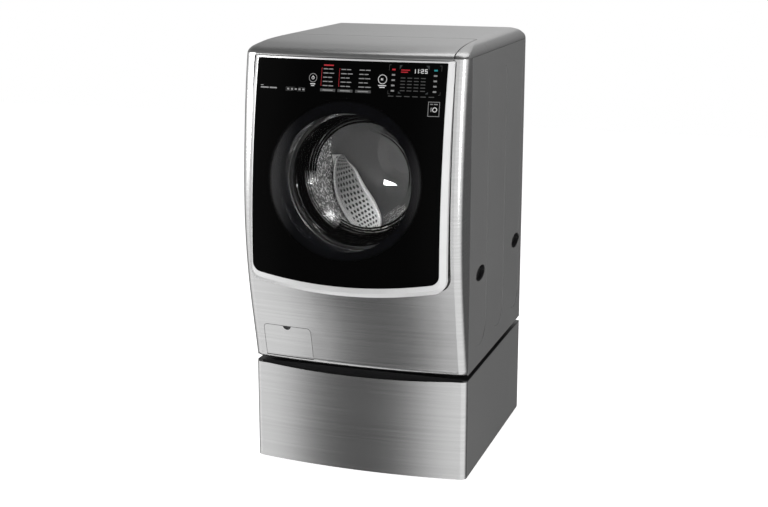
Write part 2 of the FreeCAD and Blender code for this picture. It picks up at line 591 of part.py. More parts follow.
LID_HALF = 309.0
LID_T = 2.5
LID_PROUD = 12.0         # how far the lid's front edge stands out from its neighbours, flush with the door
LID_DROP = 3.5           # hem that hangs below the rim, over the top of the door
LID_SKIRT = 16.0
LID_PIN_Y = HINGE_Y - 4.0
LID_PIN_Z = HEIGHT - 5.0
LID_PIN_R = 1.2
LID_BARREL_R = 3.5
LID_BARRELS = [(-292.0, -232.0), (232.0, 292.0)]

head = body_solid(0.0)[2].cut(body_solid(LID_T)[2])
above = box(-HALF - 5, HALF + 5, FRONT, REAR + 5, RIM_Z + SEAM / 2, HEIGHT + 5)
head = head.common(above)
lid_space = box(-LID_HALF - 1.5, LID_HALF + 1.5, FRONT, HINGE_Y + 2.5, RIM_Z - 5, HEIGHT + 5)
save("top_cover", head.cut(lid_space))
lid_space = box(-LID_HALF, LID_HALF, FRONT, HINGE_Y - 2.0, RIM_Z - 5, HEIGHT + 5)
lid_skin = top_solid(0.0, LID_PROUD).cut(top_solid(LID_T, LID_PROUD)).common(lid_space)


def lid_edge(inset):
    # outline of the lid's front edge at rim height, carried down by the drop of its hem
    edge = plan_wire(RIM_Z - LID_DROP, HALF, LID_FRONT - LID_PROUD + inset, CORNER, REAR, PLAN_R)
    return Part.Face(edge).extrude(V(0, 0, LID_DROP))


hem = lid_edge(0.0).cut(lid_edge(LID_T)).common(box(-LID_HALF, LID_HALF, FRONT, SEAM_Y, RIM_Z - 20, RIM_Z + 5))
skirt_walls = group(pair(box(LID_HALF - LID_T, LID_HALF, FRONT, HINGE_Y - 24.0, RIM_Z - 5, HEIGHT + 5)))
skirts = top_solid(0.0, LID_PROUD).cut(top_solid(LID_SKIRT, LID_PROUD)).common(skirt_walls)
lid = fuse([lid_skin, hem, skirts] + [cyl_x(LID_PIN_Y, LID_PIN_Z, LID_BARREL_R, x0, x1) for x0, x1 in LID_BARRELS])
lid = lid.cut(cyl_x(LID_PIN_Y, LID_PIN_Z, LID_PIN_R + RUN_FIT, -300.0, 300.0))
save("dispenser_lid", lid)
save("lid_hinge_pin", cyl_x(LID_PIN_Y, LID_PIN_Z, LID_PIN_R, -302.0, 302.0))

TRAY_Y0 = FRONT + 158.0
TRAY_Y1 = HINGE_Y - 26.0
TRAY_Z1 = RIM_Z + 8.0
housing = box(-288.0, 288.0, TRAY_Y0, TRAY_Y1, TRAY_Z1 - 62.0, TRAY_Z1)
housing = housing.fuse(box(-288.0, -160.0, TRAY_Y0, TRAY_Y1, TRAY_Z1 - 100.0, TRAY_Z1 - 62.0))
housing = housing.cut(box(-285.0, 285.0, TRAY_Y0 + 3, TRAY_Y1 - 3, TRAY_Z1 - 59.0, TRAY_Z1 + 5))
housing = housing.cut(box(-285.0, -163.0, TRAY_Y0 + 3, TRAY_Y1 - 3, TRAY_Z1 - 97.0, TRAY_Z1))
for s in (-1, 1):
    x0 = min(s * 294.0, s * 302.0)
    arm = box(x0, x0 + 8.0, LID_PIN_Y - 4.0, LID_PIN_Y + 4.0, TRAY_Z1 - 20.0, LID_PIN_Z - 2.5)
    arm = arm.fuse(cyl_x(LID_PIN_Y, LID_PIN_Z, 1.9, x0, x0 + 8.0))
    arm_root = box(min(s * 285.0, s * 302.0), max(s * 285.0, s * 302.0), TRAY_Y1 - 3.0, LID_PIN_Y + 4.0,
                   TRAY_Z1 - 20.0, TRAY_Z1)
    housing = housing.fuse(arm).fuse(arm_root)
housing = housing.cut(cyl_x(LID_PIN_Y, LID_PIN_Z, LID_PIN_R + RUN_FIT, -310.0, 310.0))
save("dispenser_housing", housing)

TRAY_X0 = -284.0
TRAY_X1 = 40.0
insert = box(TRAY_X0, TRAY_X1, TRAY_Y0 + 4, TRAY_Y1 - 4, TRAY_Z1 - 59.0, TRAY_Z1 - 4.0)
cells = [(-281.0, -166.0, -96.0), (-163.0, -70.0, -56.0), (-67.0, 37.0, -56.0)]
insert = insert.fuse(box(-284.0, -164.0, TRAY_Y0 + 4, TRAY_Y1 - 4, TRAY_Z1 - 96.9, TRAY_Z1 - 59.0))
for x0, x1, drop in cells:
    insert = insert.cut(box(x0, x1, TRAY_Y0 + 7, TRAY_Y1 - 7, TRAY_Z1 + max(drop, -94.0), TRAY_Z1 + 5))
save("dispenser_tray", insert)

valve = box(INLET_XS[0] - 22, INLET_XS[1] + 22, BACK_SHEET_Y - 50.0, BACK_SHEET_Y, INLET_Z - 20.0, INLET_Z + 20.0)
for ix in INLET_XS:
    valve = valve.fuse(cyl_y(ix, INLET_Z, INLET_R, BACK_SHEET_Y - 5, REAR))
    valve = valve.cut(cyl_y(ix, INLET_Z, 8.0, BACK_SHEET_Y - 10, REAR + 5))
save("water_inlet_valve", valve)

drain = cyl_y(DRAIN_X, DRAIN_Z, DRAIN_R, BACK_SHEET_Y - 30.0, REAR)
drain = drain.fuse(cyl_y(DRAIN_X, DRAIN_Z, DRAIN_R + 8.0, BACK_SHEET_Y - 6.0, BACK_SHEET_Y))
save("drain_outlet", drain.cut(cyl_y(DRAIN_X, DRAIN_Z, DRAIN_R - 2.5, BACK_SHEET_Y - 40, REAR + 5)))

gland = box(POWER_X - 15.5, POWER_X + 15.5, BACK_SHEET_Y - 6.0, BACK_SHEET_Y + 8.0, POWER_Z - 15.5, POWER_Z + 15.5)
gland = gland.fuse(box(POWER_X - 22, POWER_X + 22, BACK_SHEET_Y - 6.0, BACK_SHEET_Y, POWER_Z - 22, POWER_Z + 22))
save("power_inlet", gland.cut(cyl_y(POWER_X, POWER_Z, CORD_R, BACK_SHEET_Y - 10, REAR)))

# ---------------------------------------------------------------- tub, suspension and motor

SPRING_X = 255.0
SPRING_R = 14.0
SPRING_WIRE = 2.0
SPRING_LOW = 1140.0
HEATER_R = 3.0
HEATER_RING = TUB_R - 7.5
HEATER_ANGLES = (172.0, 188.0)
DAMPER_X = 200.0
DAMPER_Y = 60.0
DAMPER_ROD_R = 6.0
TUB_OUT = TUB_R + TUB_T

TUB_MOUTH_R = MOUTH_R - 3.0
front_shell = lathe([(TUB_MOUTH_R, TUB_Y0), (TUB_OUT, TUB_Y0), (TUB_OUT, TUB_SPLIT - 6), (TUB_OUT + 9, TUB_SPLIT - 6),
                     (TUB_OUT + 9, TUB_SPLIT), (TUB_R, TUB_SPLIT), (TUB_R, TUB_Y0 + TUB_T), (TUB_MOUTH_R, TUB_Y0 + TUB_T)])
save("tub_front", front_shell)

HUB_R = 42.0
HUB_Y1 = TUB_Y1 + 44.0
rear_shell = lathe([(TUB_R, TUB_SPLIT), (TUB_OUT + 9, TUB_SPLIT), (TUB_OUT + 9, TUB_SPLIT + 6),
                    (TUB_OUT, TUB_SPLIT + 6), (TUB_OUT, TUB_Y1 + 6), (HUB_R, TUB_Y1 + 6), (HUB_R, HUB_Y1),
                    (BEARING_R, HUB_Y1), (BEARING_R, TUB_Y1 - 6), (HUB_R, TUB_Y1 - 6), (HUB_R, TUB_Y1),
                    (TUB_R, TUB_Y1)])
ribs = []
for k in range(12):
    rib = box(-2.5, 2.5, TUB_Y1 + 5, TUB_Y1 + 18, AXIS_Z + HUB_R - 1, AXIS_Z + TUB_OUT - 6)
    ribs.append(spin(rib, 30.0 * k + 15.0))
extras = []
for s in (-1, 1):
    extras.append(box(s * SPRING_X - 12, s * SPRING_X + 12, BRACE_Y - 8, BRACE_Y + 12, 1080.0, SPRING_LOW))
    extras.append(box(s * DAMPER_X - 12, s * DAMPER_X + 12, DAMPER_Y - 12, DAMPER_Y + 12, 690.0, 740.0))
spigot = ring_z(-120.0, 60.0, 17.0, 21.0, 632.0, 670.0)
extras.append(spigot)
keep_out = cyl_y(0, AXIS_Z, TUB_R, TUB_Y0 - 5, TUB_Y1)
rear_half = box(-HALF, HALF, TUB_SPLIT, REAR, BASE_Z, HEIGHT)
extras = [e.common(rear_half).cut(keep_out) for e in extras]
rear_tub = fuse([rear_shell] + ribs + extras).cut(cyl_z(-120.0, 60.0, 17.0, 620.0, 700.0))
for angle in HEATER_ANGLES:
    rear_tub = rear_tub.cut(spin(cyl_y(0, AXIS_Z + HEATER_RING, HEATER_R, TUB_Y1 - 5, TUB_Y1 + 10), angle))
save("tub_rear", rear_tub)

weight = lathe([(TUB_OUT + 0.5, -90.0), (TUB_OUT + 32, -90.0), (TUB_OUT + 32, 0.0), (TUB_OUT + 0.5, 0.0)])
wedge_low = box(-190.0, 190.0, -100.0, 100.0, AXIS_Z - 400, AXIS_Z - 200)
wedge_up = box(-190.0, 190.0, -100.0, 100.0, AXIS_Z + 200, AXIS_Z + 400)
save("counterweights", group([weight.common(wedge_up), weight.common(wedge_low)]))

BEARING_W = 15.0
STATOR_Y0 = TUB_Y1 + 22.0


def bearing(y):
    return ring_y(0, AXIS_Z, SHAFT_R + RUN_FIT, BEARING_R - 0.02, y, y + BEARING_W)


save("bearings", group([bearing(TUB_Y1 + 4.0), bearing(HUB_Y1 - BEARING_W)]))

core = ring_y(0, AXIS_Z, HUB_R + 1.0, 88.0, STATOR_Y0, HUB_Y1)
teeth = []
for k in range(24):
    tooth = box(-5.0, 5.0, STATOR_Y0, HUB_Y1, AXIS_Z + 86.0, AXIS_Z + 120.0)
    teeth.append(spin(tooth, 15.0 * k))
stator = fuse([core] + teeth).common(ring_y(0, AXIS_Z, HUB_R + 0.5, 120.0, STATOR_Y0 - 1, HUB_Y1 + 1))
lugs = []
for k in range(6):
    lugs.append(spin(cyl_y(0, AXIS_Z + 62.0, 6.0, TUB_Y1 + 6.0, STATOR_Y0), 60.0 * k))
save("stator", fuse([stator] + lugs))

coils = []
for s in (-1, 1):
    turns = 7.0
    height = BRACE_Z - SPRING_LOW - 2 * SPRING_WIRE - 2.0
    helix = Part.makeHelix(height / turns, height, SPRING_R)
    start = Part.Wire(Part.Circle(V(SPRING_R, 0, 0), V(0, 1, 0), SPRING_WIRE).toShape())
    coil = Part.Wire(helix).makePipeShell([start], True, True)
    coil.translate(V(s * SPRING_X, BRACE_Y, SPRING_LOW + SPRING_WIRE + 1.0))
    coils.append(coil)
save("suspension_springs", group(coils))

bodies = []
rods = []
for s in (-1, 1):
    tube = cyl_z(s * DAMPER_X, DAMPER_Y, 18.0, BASE_Z + 3.0, 560.0)
    tube = tube.cut(cyl_z(s * DAMPER_X, DAMPER_Y, 14.0, BASE_Z + 30.0, 550.0))
    tube = tube.cut(cyl_z(s * DAMPER_X, DAMPER_Y, DAMPER_ROD_R + RUN_FIT, 540.0, 565.0))
    bodies.append(tube)
    rod = cyl_z(s * DAMPER_X, DAMPER_Y, DAMPER_ROD_R, 452.0, 690.0)
    rods.append(rod.fuse(cyl_z(s * DAMPER_X, DAMPER_Y, 13.5, 452.0, 466.0)))
save("damper_bodies", group(bodies))
save("damper_rods", group(rods))

legs = []
for angle in HEATER_ANGLES:
    legs.append(spin(cyl_y(0, AXIS_Z + HEATER_RING, HEATER_R, -120.0, TUB_Y1 + 12.0), angle))
ring_in = HEATER_RING - HEATER_R
ring_out = HEATER_RING + HEATER_R
bend = lathe([(ring_in, -120.0), (ring_out, -120.0), (ring_out, -114.0), (ring_in, -114.0)])
bend = bend.common(box(-42.0, 42.0, -130.0, -100.0, AXIS_Z - 400, AXIS_Z))
save("heater", fuse(legs + [bend]))

HOSE_TOP = V(-120.0, 60.0, 629.0)
HOSE_BEND = 45.0
hose_points = [HOSE_TOP, V(-120.0, 60.0, 556.0), V(PUMP_X, BULKHEAD_Y + 60.0, 532.0),
               V(PUMP_X, BULKHEAD_Y + 60.0, PUMP_Z + 66.0)]


def bent_path(points, radius):
    # straight runs joined by arcs that touch both runs
    edges = []
    start = points[0]
    for before, corner, after in zip(points, points[1:], points[2:]):
        back = (before - corner).normalize()
        ahead = (after - corner).normalize()
        half_angle = back.getAngle(ahead) / 2
        reach = radius / math.tan(half_angle)
        centre = corner + (back + ahead).normalize() * (radius / math.sin(half_angle))
        middle = centre + (corner - centre).normalize() * radius
        edges.append(Part.makeLine(start, corner + back * reach))
        edges.append(Part.Arc(corner + back * reach, middle, corner + ahead * reach).toShape())
        start = corner + ahead * reach
    edges.append(Part.makeLine(start, points[-1]))
    return Part.Wire(edges)


path = bent_path(hose_points, HOSE_BEND)


def hose(radius):
    ring = Part.Wire(Part.Circle(HOSE_TOP, V(0, 0, -1), radius).toShape())
    return path.makePipeShell([ring], True, False)


save("sump_hose", hose(22.0).cut(hose(18.5)))

GASKET_R = MOUTH_R - 16.0
gasket = lathe([(GASKET_R, POCKET_FLOOR + 2.6), (MOUTH_R + 11, POCKET_FLOOR + 2.6), (MOUTH_R + 11, POCKET_FLOOR + 7.0),
                (GASKET_R + 8, POCKET_FLOOR + 7.0), (GASKET_R + 8, TUB_Y0 - 8.0), (GASKET_R + 21, TUB_Y0 - 8.0),
                (GASKET_R + 21, TUB_Y0 - 1.0), (GASKET_R, TUB_Y0 - 1.0)])
save("door_gasket", gasket)

# ---------------------------------------------------------------- drum and everything that turns with it

DRUM_T = 1.2
save("drum_shell", ring_y(0, AXIS_Z, DRUM_R - DRUM_T, DRUM_R, DRUM_Y0 + 6.0, DRUM_Y1))
front_ring = lathe([(DRUM_MOUTH_R, DRUM_Y0 + 14.0), (DRUM_MOUTH_R, DRUM_Y0 + 3.0), (DRUM_MOUTH_R + 6, DRUM_Y0),
                    (DRUM_R - 18, DRUM_Y0), (DRUM_R, DRUM_Y0 + 6.0), (DRUM_R - DRUM_T, DRUM_Y0 + 6.0),
                    (DRUM_R - 19, DRUM_Y0 + 3.0), (DRUM_MOUTH_R + 8, DRUM_Y0 + 3.0), (DRUM_MOUTH_R + 3, DRUM_Y0 + 5.0),
                    (DRUM_MOUTH_R + 3, DRUM_Y0 + 14.0)])
save("drum_front_ring", front_ring)
back_plate = lathe([(0.0, DRUM_Y1 - 14.0), (70.0, DRUM_Y1 - 14.0), (110.0, DRUM_Y1 - 3.0), (DRUM_R - DRUM_T, DRUM_Y1 - 3.0),
                    (DRUM_R - DRUM_T, DRUM_Y1), (108.0, DRUM_Y1), (68.0, DRUM_Y1 - 11.0), (0.0, DRUM_Y1 - 11.0)])
save("drum_back", back_plate)

LIFTER_H = 84.0
LIFTER_Y = DRUM_Y1 - 95.0
LIFTER_WIDE = 1.35
LIFTER_LONG = 1.30
lifter_r = DRUM_R - DRUM_T
grow = FreeCAD.Matrix()
grow.scale(LIFTER_WIDE, LIFTER_LONG, 1.0)
lifters = []
inner = cyl_y(0, AXIS_Z, lifter_r, DRUM_Y0 + 8.0, DRUM_Y1 - 4.0)
blade = Part.makeCone(62.0, 20.0, LIFTER_H + 6.0, V(0, 0, 0), V(0, 0, 1)).transformGeometry(grow)
blade.rotate(V(0, 0, 0), V(1, 0, 0), 180)
blade.translate(V(0, LIFTER_Y, AXIS_Z + lifter_r + 3.0))
for k in range(3):
    lifters.append(spin(blade.common(inner), 120.0 * k + 108.0))
save("drum_lifters", group(lifters))

SPIDER_Y1 = DRUM_Y1 + 17.0
hub = cyl_y(0, AXIS_Z, 34.0, DRUM_Y1 - 11.0, SPIDER_Y1)
arms = []
for k in range(3):
    arm = box(-20.0, 20.0, DRUM_Y1, SPIDER_Y1 - 4.0, AXIS_Z + 20.0, AXIS_Z + DRUM_R - 10.0)
    arms.append(spin(arm, 120.0 * k))
spider = fuse([hub] + arms)
spider = spider.cut(cyl_y(0, AXIS_Z, SHAFT_R, DRUM_Y1 - 20.0, SPIDER_Y1 + 5))
save("drum_spider", spider)
ROTOR_Y1 = HUB_Y1 + 24.0
save("drum_shaft", cyl_y(0, AXIS_Z, SHAFT_R, DRUM_Y1 - 10.0, ROTOR_Y1 + 6.0))
rotor = lathe([(SHAFT_R, ROTOR_Y1 - 14.0), (30.0, ROTOR_Y1 - 14.0), (30.0, ROTOR_Y1 - 4.0), (122.0, ROTOR_Y1 - 4.0),
               (122.0, STATOR_Y0), (133.0, STATOR_Y0), (133.0, ROTOR_Y1), (SHAFT_R, ROTOR_Y1)])
save("rotor", rotor)
nut_points = [V(17 * math.cos(math.radians(60 * k)), ROTOR_Y1 + 6.0, AXIS_Z + 17 * math.sin(math.radians(60 * k)))
              for k in range(6)]
nut = Part.Face(Part.makePolygon(nut_points + [nut_points[0]])).extrude(V(0, 9, 0))
washer = ring_y(0, AXIS_Z, SHAFT_R, 24.0, ROTOR_Y1, ROTOR_Y1 + 6.0)
save("rotor_bolt", nut.fuse(washer))

# ---------------------------------------------------------------- door

ball_centre = V(0, FRONT + DOOR_BOW, DOOR_MID_Z)
frame_block = door_outline(DOOR_HALF, DOOR_TOP, DOOR_LOW, DOOR_CORNER_Z, 0, 42.0).common(ball(0.0))
rim = []
for e in frame_block.Edges:
    p = e.valueAt((e.FirstParameter + e.LastParameter) / 2)
    if abs((p - ball_centre).Length - DOOR_BOW) < 0.5 and p.z < DOOR_TOP - 1:
        rim.append(e)
bevelled = frame_block.makeChamfer(BEVEL, rim)
print("bevelled frame", bevelled.isValid(), len(rim))
behind = box(-HALF, HALF, FRONT - 20, DOOR_BACK, 0, HEIGHT)
frame = bevelled.cut(ball(FRAME_DEPTH)).common(behind)
frame = frame.cut(glass_outline(0.4).cut(ball(GLASS_T + 0.3)))
frame = frame.cut(glass_outline(-8.0))
glass = glass_outline(0.0).common(ball(0.0)).cut(ball(GLASS_T))

knuckle_space = []
for z0, z1 in KNUCKLES:
    knuckle_space.append(box(DOOR_PIVOT_X - 14, DOOR_PIVOT_X + 5, DOOR_PIVOT_Y - 6.5, DOOR_BACK + 5, z0 - 0.6, z1 + 0.6))
    knuckle_space.append(cyl_z(DOOR_PIVOT_X, DOOR_PIVOT_Y, 7.2, z0 - 0.6, z1 + 0.6))
ears = []
pins = []
for z0, z1 in KNUCKLES:
    for za, zb in ((z0 - 9.0, z0 - 0.6), (z1 + 0.6, z1 + 9.0)):
        ears.append(box(DOOR_PIVOT_X - 5, DOOR_PIVOT_X + 22, DOOR_PIVOT_Y - 5, DOOR_PIVOT_Y + 12, za, zb))
    pins.append(cyl_z(DOOR_PIVOT_X, DOOR_PIVOT_Y, HINGE_PIN_R, z0 - 9.0, z1 + 9.0))
strap = box(DOOR_PIVOT_X + 18, DOOR_PIVOT_X + 22, DOOR_PIVOT_Y - 5, DOOR_PIVOT_Y + 12,
            KNUCKLES[0][0] - 9.0, KNUCKLES[1][1] + 9.0)
leaf = fuse(ears + [strap])
for z0, z1 in KNUCKLES:
    leaf = leaf.cut(cyl_z(DOOR_PIVOT_X, DOOR_PIVOT_Y, HINGE_PIN_R, z0 - 12.0, z1 + 12.0))
leaf_space = fuse(ears + [strap])

cover_block = grown_outline(-11.0).common(ball(FRAME_DEPTH + 0.2)).common(behind)
cover_hollow = grown_outline(-14.0).common(box(-HALF, HALF, FRONT, DOOR_BACK - 3.0, 0, HEIGHT))
tube = ring_y(0, AXIS_Z, BOWL_R + 12.5, BOWL_R + 17.0, FRONT - 10, DOOR_BACK).common(ball(GLASS_T + 9.0))
cover = cover_block.cut(cover_hollow).fuse(tube)
cover = cover.cut(cyl_y(0, AXIS_Z, BOWL_R + 12.5, FRONT, DOOR_BACK + 5))
for cut in knuckle_space:
    frame = frame.cut(cut)
    cover = cover.cut(cut)
frame = frame.cut(leaf_space)
cover = cover.cut(leaf_space)
save("door_frame", frame)
save("door_glass", glass)
save("door_inner_cover", cover)
save("door_hinge_leaf", leaf)
save("door_hinge_pins", group(pins))

# the bowl: each entry is its outer radius as a share of its mouth and the depth behind the door's back
BOWL = [(0.0, 122.0), (0.42, 119.5), (0.67, 113.0), (0.81, 100.0), (0.88, 74.0), (0.97, 26.0)]
BOWL_T = 5.0
outer_line = [(BOWL_R * share, DOOR_BACK + depth) for share, depth in BOWL]
inner_line = []
for share, depth in reversed(BOWL):
    if share > 0.85:
        inner_line.append((BOWL_R * share - BOWL_T, DOOR_BACK + depth))
    else:
        inner_line.append((max(BOWL_R * share - 3.0, 0.0), DOOR_BACK + depth - BOWL_T))
window = lathe(outer_line + [(BOWL_R, DOOR_BACK), (BOWL_R + 12, DOOR_BACK), (BOWL_R + 12, DOOR_BACK - 6.0),
                             (BOWL_R - 5.5, DOOR_BACK - 6.0)] + inner_line)
save("door_window_bowl", window)
bezel = ring_y(0, AXIS_Z + 14.0, BOWL_R + 6.0, 236.0, FRONT - 10, FRONT + 120)
bezel = bezel.common(ball(GLASS_T + 0.4)).cut(ball(GLASS_T + 4.0))
save("door_window_ring", bezel)
board = box(-GLASS_HALF + 11, GLASS_HALF - 11, FRONT - 10, FRONT + 200, GLASS_TOP - 99.0, GLASS_TOP - 11.0)
board = board.common(ball(GLASS_T + 3.0)).cut(ball(GLASS_T + 8.0))
save("door_display_board", board)

hook = box(LATCH_X - 5, LATCH_X + 5, DOOR_BACK, POCKET_FLOOR + 16.0, LATCH_Z - 8, LATCH_Z + 8)
hook = hook.fuse(box(LATCH_X - 5, LATCH_X + 5, POCKET_FLOOR + 8.0, POCKET_FLOOR + 16.0, LATCH_Z + 8, LATCH_Z + 14))
save("door_latch_hook", hook)
lock = box(LATCH_X - 28, LATCH_X + 28, POCKET_FLOOR + SHEET, BULKHEAD_Y - 1.0, LATCH_Z - 45, LATCH_Z + 45)
lock = lock.cut(box(LATCH_X - 12, LATCH_X + 12, POCKET_FLOOR, POCKET_FLOOR + 22.0, LATCH_Z - 22, LATCH_Z + 22))
lock = lock.cut(cyl_y(0, AXIS_Z, MOUTH_R + 12.5, POCKET_FLOOR, POCKET_FLOOR + 8.5))
save("door_lock", lock)

bracket = box(DOOR_PIVOT_X - 6, DOOR_PIVOT_X + 30, POCKET_FLOOR + SHEET, POCKET_FLOOR + SHEET + 4.0,
              KNUCKLES[0][0] - 24.0, KNUCKLES[1][1] + 24.0)
for z0, z1 in KNUCKLES:
    neck = box(DOOR_PIVOT_X - 3.5, DOOR_PIVOT_X + 3.5, DOOR_PIVOT_Y, POCKET_FLOOR + SHEET, z0, z1)
    bracket = bracket.fuse(neck).fuse(cyl_z(DOOR_PIVOT_X, DOOR_PIVOT_Y, 6.0, z0, z1))
    bracket = bracket.cut(cyl_z(DOOR_PIVOT_X, DOOR_PIVOT_Y, HINGE_PIN_R + RUN_FIT, z0 - 1, z1 + 1))
    front = front.cut(box(DOOR_PIVOT_X - 4, DOOR_PIVOT_X + 4, POCKET_FLOOR - 5, POCKET_FLOOR + 5, z0 - 0.5, z1 + 0.5))
save("door_hinge_bracket", bracket)
front = front.cut(service_rod(SERVICE_PIN_R + 0.4, -6.0, service_len + 6.0))
save("front_panel", front)
print(len(set(save_names)), "nodes")
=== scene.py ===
# %% [markdown]
# # A front-loading washing machine on its drawer pedestal
# The metal, plastic and glass solids of this machine were drawn in CAD to real size, in metres here. In this
# lesson the finishes are mixed as procedural materials, the thin things that CAD is slow at (the signs printed on
# the glass and the stamped sheet lifters of the drum) are modelled by hand, and a small studio is put round it.
# Everything that is made here rides on one of the machine's moving bodies, so the door and the drawer still open.

# %% Load the frame
import bpy
import bmesh
import json
import math
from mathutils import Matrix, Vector


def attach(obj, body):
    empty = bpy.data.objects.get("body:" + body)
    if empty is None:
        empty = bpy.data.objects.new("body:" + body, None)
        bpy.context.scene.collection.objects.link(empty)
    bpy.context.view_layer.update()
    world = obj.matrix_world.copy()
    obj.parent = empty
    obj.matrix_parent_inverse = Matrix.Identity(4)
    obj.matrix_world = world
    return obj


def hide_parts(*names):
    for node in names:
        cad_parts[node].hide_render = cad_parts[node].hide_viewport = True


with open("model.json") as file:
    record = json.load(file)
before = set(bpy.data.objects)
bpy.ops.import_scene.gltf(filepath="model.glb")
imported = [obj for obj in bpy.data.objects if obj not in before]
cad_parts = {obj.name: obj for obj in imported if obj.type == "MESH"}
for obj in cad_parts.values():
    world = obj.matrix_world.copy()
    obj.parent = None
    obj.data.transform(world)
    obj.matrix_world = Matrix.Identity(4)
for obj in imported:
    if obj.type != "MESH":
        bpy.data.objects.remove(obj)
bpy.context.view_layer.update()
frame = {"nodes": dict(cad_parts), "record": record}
nodes = frame["nodes"]
print("CAD nodes:", len(nodes))

# %% [markdown]
# ## Shader sums written as Python
# A procedural material is a chain of small maths nodes. Dragging dozens of them by hand is slow and hard to read,
# so one small class wraps a socket: adding or multiplying two of them places the Math node. The reflected sum
# and difference are there too, so that `1 - mask` works as well as `mask - 1`.

# %% A socket that can be added and multiplied
class Value:
    def __init__(self, recipe, socket):
        self.recipe = recipe
        self.socket = socket

    def math(self, operation, *others):
        values = dict(enumerate((self,) + others))
        return self.recipe.node("ShaderNodeMath", {"operation": operation}, values)

    def __add__(self, other):
        return self.math("ADD", other)

    def __radd__(self, other):
        return self.math("ADD", other)

    def __sub__(self, other):
        return self.math("SUBTRACT", other)

    def __rsub__(self, other):
        return self.recipe.node("ShaderNodeMath", {"operation": "SUBTRACT"}, {0: other, 1: self})

    def __mul__(self, other):
        return self.math("MULTIPLY", other)

    def __truediv__(self, other):
        return self.math("DIVIDE", other)

    def __pow__(self, other):
        return self.math("POWER", other)

    def __gt__(self, other):
        return self.math("GREATER_THAN", other)


# %% [markdown]
# ## One recipe for each finish
# A recipe owns a material with a Principled shader and knows a few moves: place any node, mix two colours, read
# the place on the piece in metres, scatter noise over it, and turn a height into bump. Every finish below is
# written with these moves only. All patterns read Object coordinates, because the finished pieces have their
# place in their mesh, so one metre in the pattern is one metre on the machine.

# %% The recipe class
class Recipe:
    def __init__(self, name, **constants):
        self.material = bpy.data.materials.new(name)
        self.material.use_nodes = True
        self.tree = self.material.node_tree
        self.tree.nodes.clear()
        self.out = self.tree.nodes.new("ShaderNodeOutputMaterial")
        self.shader = self.tree.nodes.new("ShaderNodeBsdfPrincipled")
        self.tree.links.new(self.shader.outputs[0], self.out.inputs[0])
        self.set(**constants)

    def feed(self, socket, value):
        if isinstance(value, Value):
            self.tree.links.new(value.socket, socket)
        else:
            socket.default_value = value

    def set(self, **values):
        for key, value in values.items():
            self.feed(self.shader.inputs[key.replace("_", " ").title().replace("Ior", "IOR")], value)
        return self

    def node(self, kind, settings=None, inputs=None, output=0):
        made = self.tree.nodes.new(kind)
        for key, value in (settings or {}).items():
            setattr(made, key, value)
        for key, value in (inputs or {}).items():
            self.feed(made.inputs[key], value)
        return Value(self, made.outputs[output])

    def mix(self, factor, first, second):
        return self.node("ShaderNodeMix", {"data_type": "RGBA"}, {0: factor, 6: first, 7: second}, 2)

    def place(self):
        return self.node("ShaderNodeTexCoord", None, None, "Object")

    def xyz(self):
        spot = self.place()
        return [self.node("ShaderNodeSeparateXYZ", None, {0: spot}, k) for k in range(3)]

    def noise(self, scale, stretch=(1, 1, 1), detail=3.0):
        spot = self.node("ShaderNodeMapping", None, {"Vector": self.place(), "Scale": stretch})
        return self.node("ShaderNodeTexNoise", None, {"Vector": spot, "Scale": scale, "Detail": detail}, 0)

    def spread(self, value, low, high, to_low=0.0, to_high=1.0):
        return self.node("ShaderNodeMapRange", {"interpolation_type": "SMOOTHSTEP"},
                         {"Value": value, "From Min": low, "From Max": high,
                          "To Min": to_low, "To Max": to_high})

    def bump(self, height, distance, strength=1.0):
        normal = self.node("ShaderNodeBump", None,
                           {"Height": height, "Distance": distance, "Strength": strength})
        return self.set(normal=normal)


finishes = {}


def grey(level, warm=0.0):
    return (level * (1 + warm), level, level * (1 - warm), 1.0)


# %% [markdown]
# ## Brushed stainless steel
# The front and the drawer are sheet steel rubbed along its width with an abrasive belt. Seen close, the belt left
# thousands of fine level scratches, so light spreads up and down but hardly sideways. Noise squeezed a hundred
# times and more along Z makes the scratches: a fine set for the bump, a coarser one that changes the shade and the
# roughness, and a very slow one for the faint clouds that any large sheet has.

# %% Mix the brushed steel
def brushed(name, tone, rough):
    steel = Recipe(name, metallic=1.0, specular_ior_level=0.5)
    fine = steel.noise(1.0, (6.0, 6.0, 1500.0), 2.0)
    coarse = steel.noise(1.0, (2.0, 2.0, 260.0), 3.0)
    cloud = steel.noise(3.0, (1, 1, 1), 2.0)
    shade = steel.spread(coarse * 0.75 + cloud * 0.25, 0.34, 0.66)
    steel.set(base_color=steel.mix(shade, grey(tone * 0.93), grey(tone * 1.01)),
              roughness=rough + (fine - 0.5) * 0.04 + (coarse - 0.5) * 0.03)
    return steel.bump(fine * 0.85 + coarse * 0.15, 0.00002, 0.15)


finishes["brushed_stainless"] = brushed("brushed_stainless", 0.72, 0.25)
print("brushed steel uses", len(finishes["brushed_stainless"].tree.nodes), "nodes")

# %% [markdown]
# ## Painted sheet steel
# The sides, the pedestal and the back are plain sheet with a satin baked paint. Such paint is never quite flat:
# it dries with a faint orange-peel skin, about two millimetres from bump to bump. Two scales of noise give the
# skin and the slow drift in its gloss.

# %% Mix the satin paint
def satin_paint(name, tone, rough, metal):
    paint = Recipe(name, metallic=metal, specular_ior_level=0.5, coat_roughness=0.25)
    peel = paint.noise(520.0, (1, 1, 1), 2.0)
    drift = paint.noise(4.0, (1, 1, 1), 3.0)
    paint.set(base_color=paint.mix(drift, grey(tone * 0.95), grey(tone * 1.05)),
              roughness=rough + (drift - 0.5) * 0.08 + (peel - 0.5) * 0.05, coat_weight=0.15 + drift * 0.1)
    return paint.bump(peel, 0.0003, 0.35)


finishes["satin_paint"] = satin_paint("satin_paint", 0.235, 0.42, 0.55)

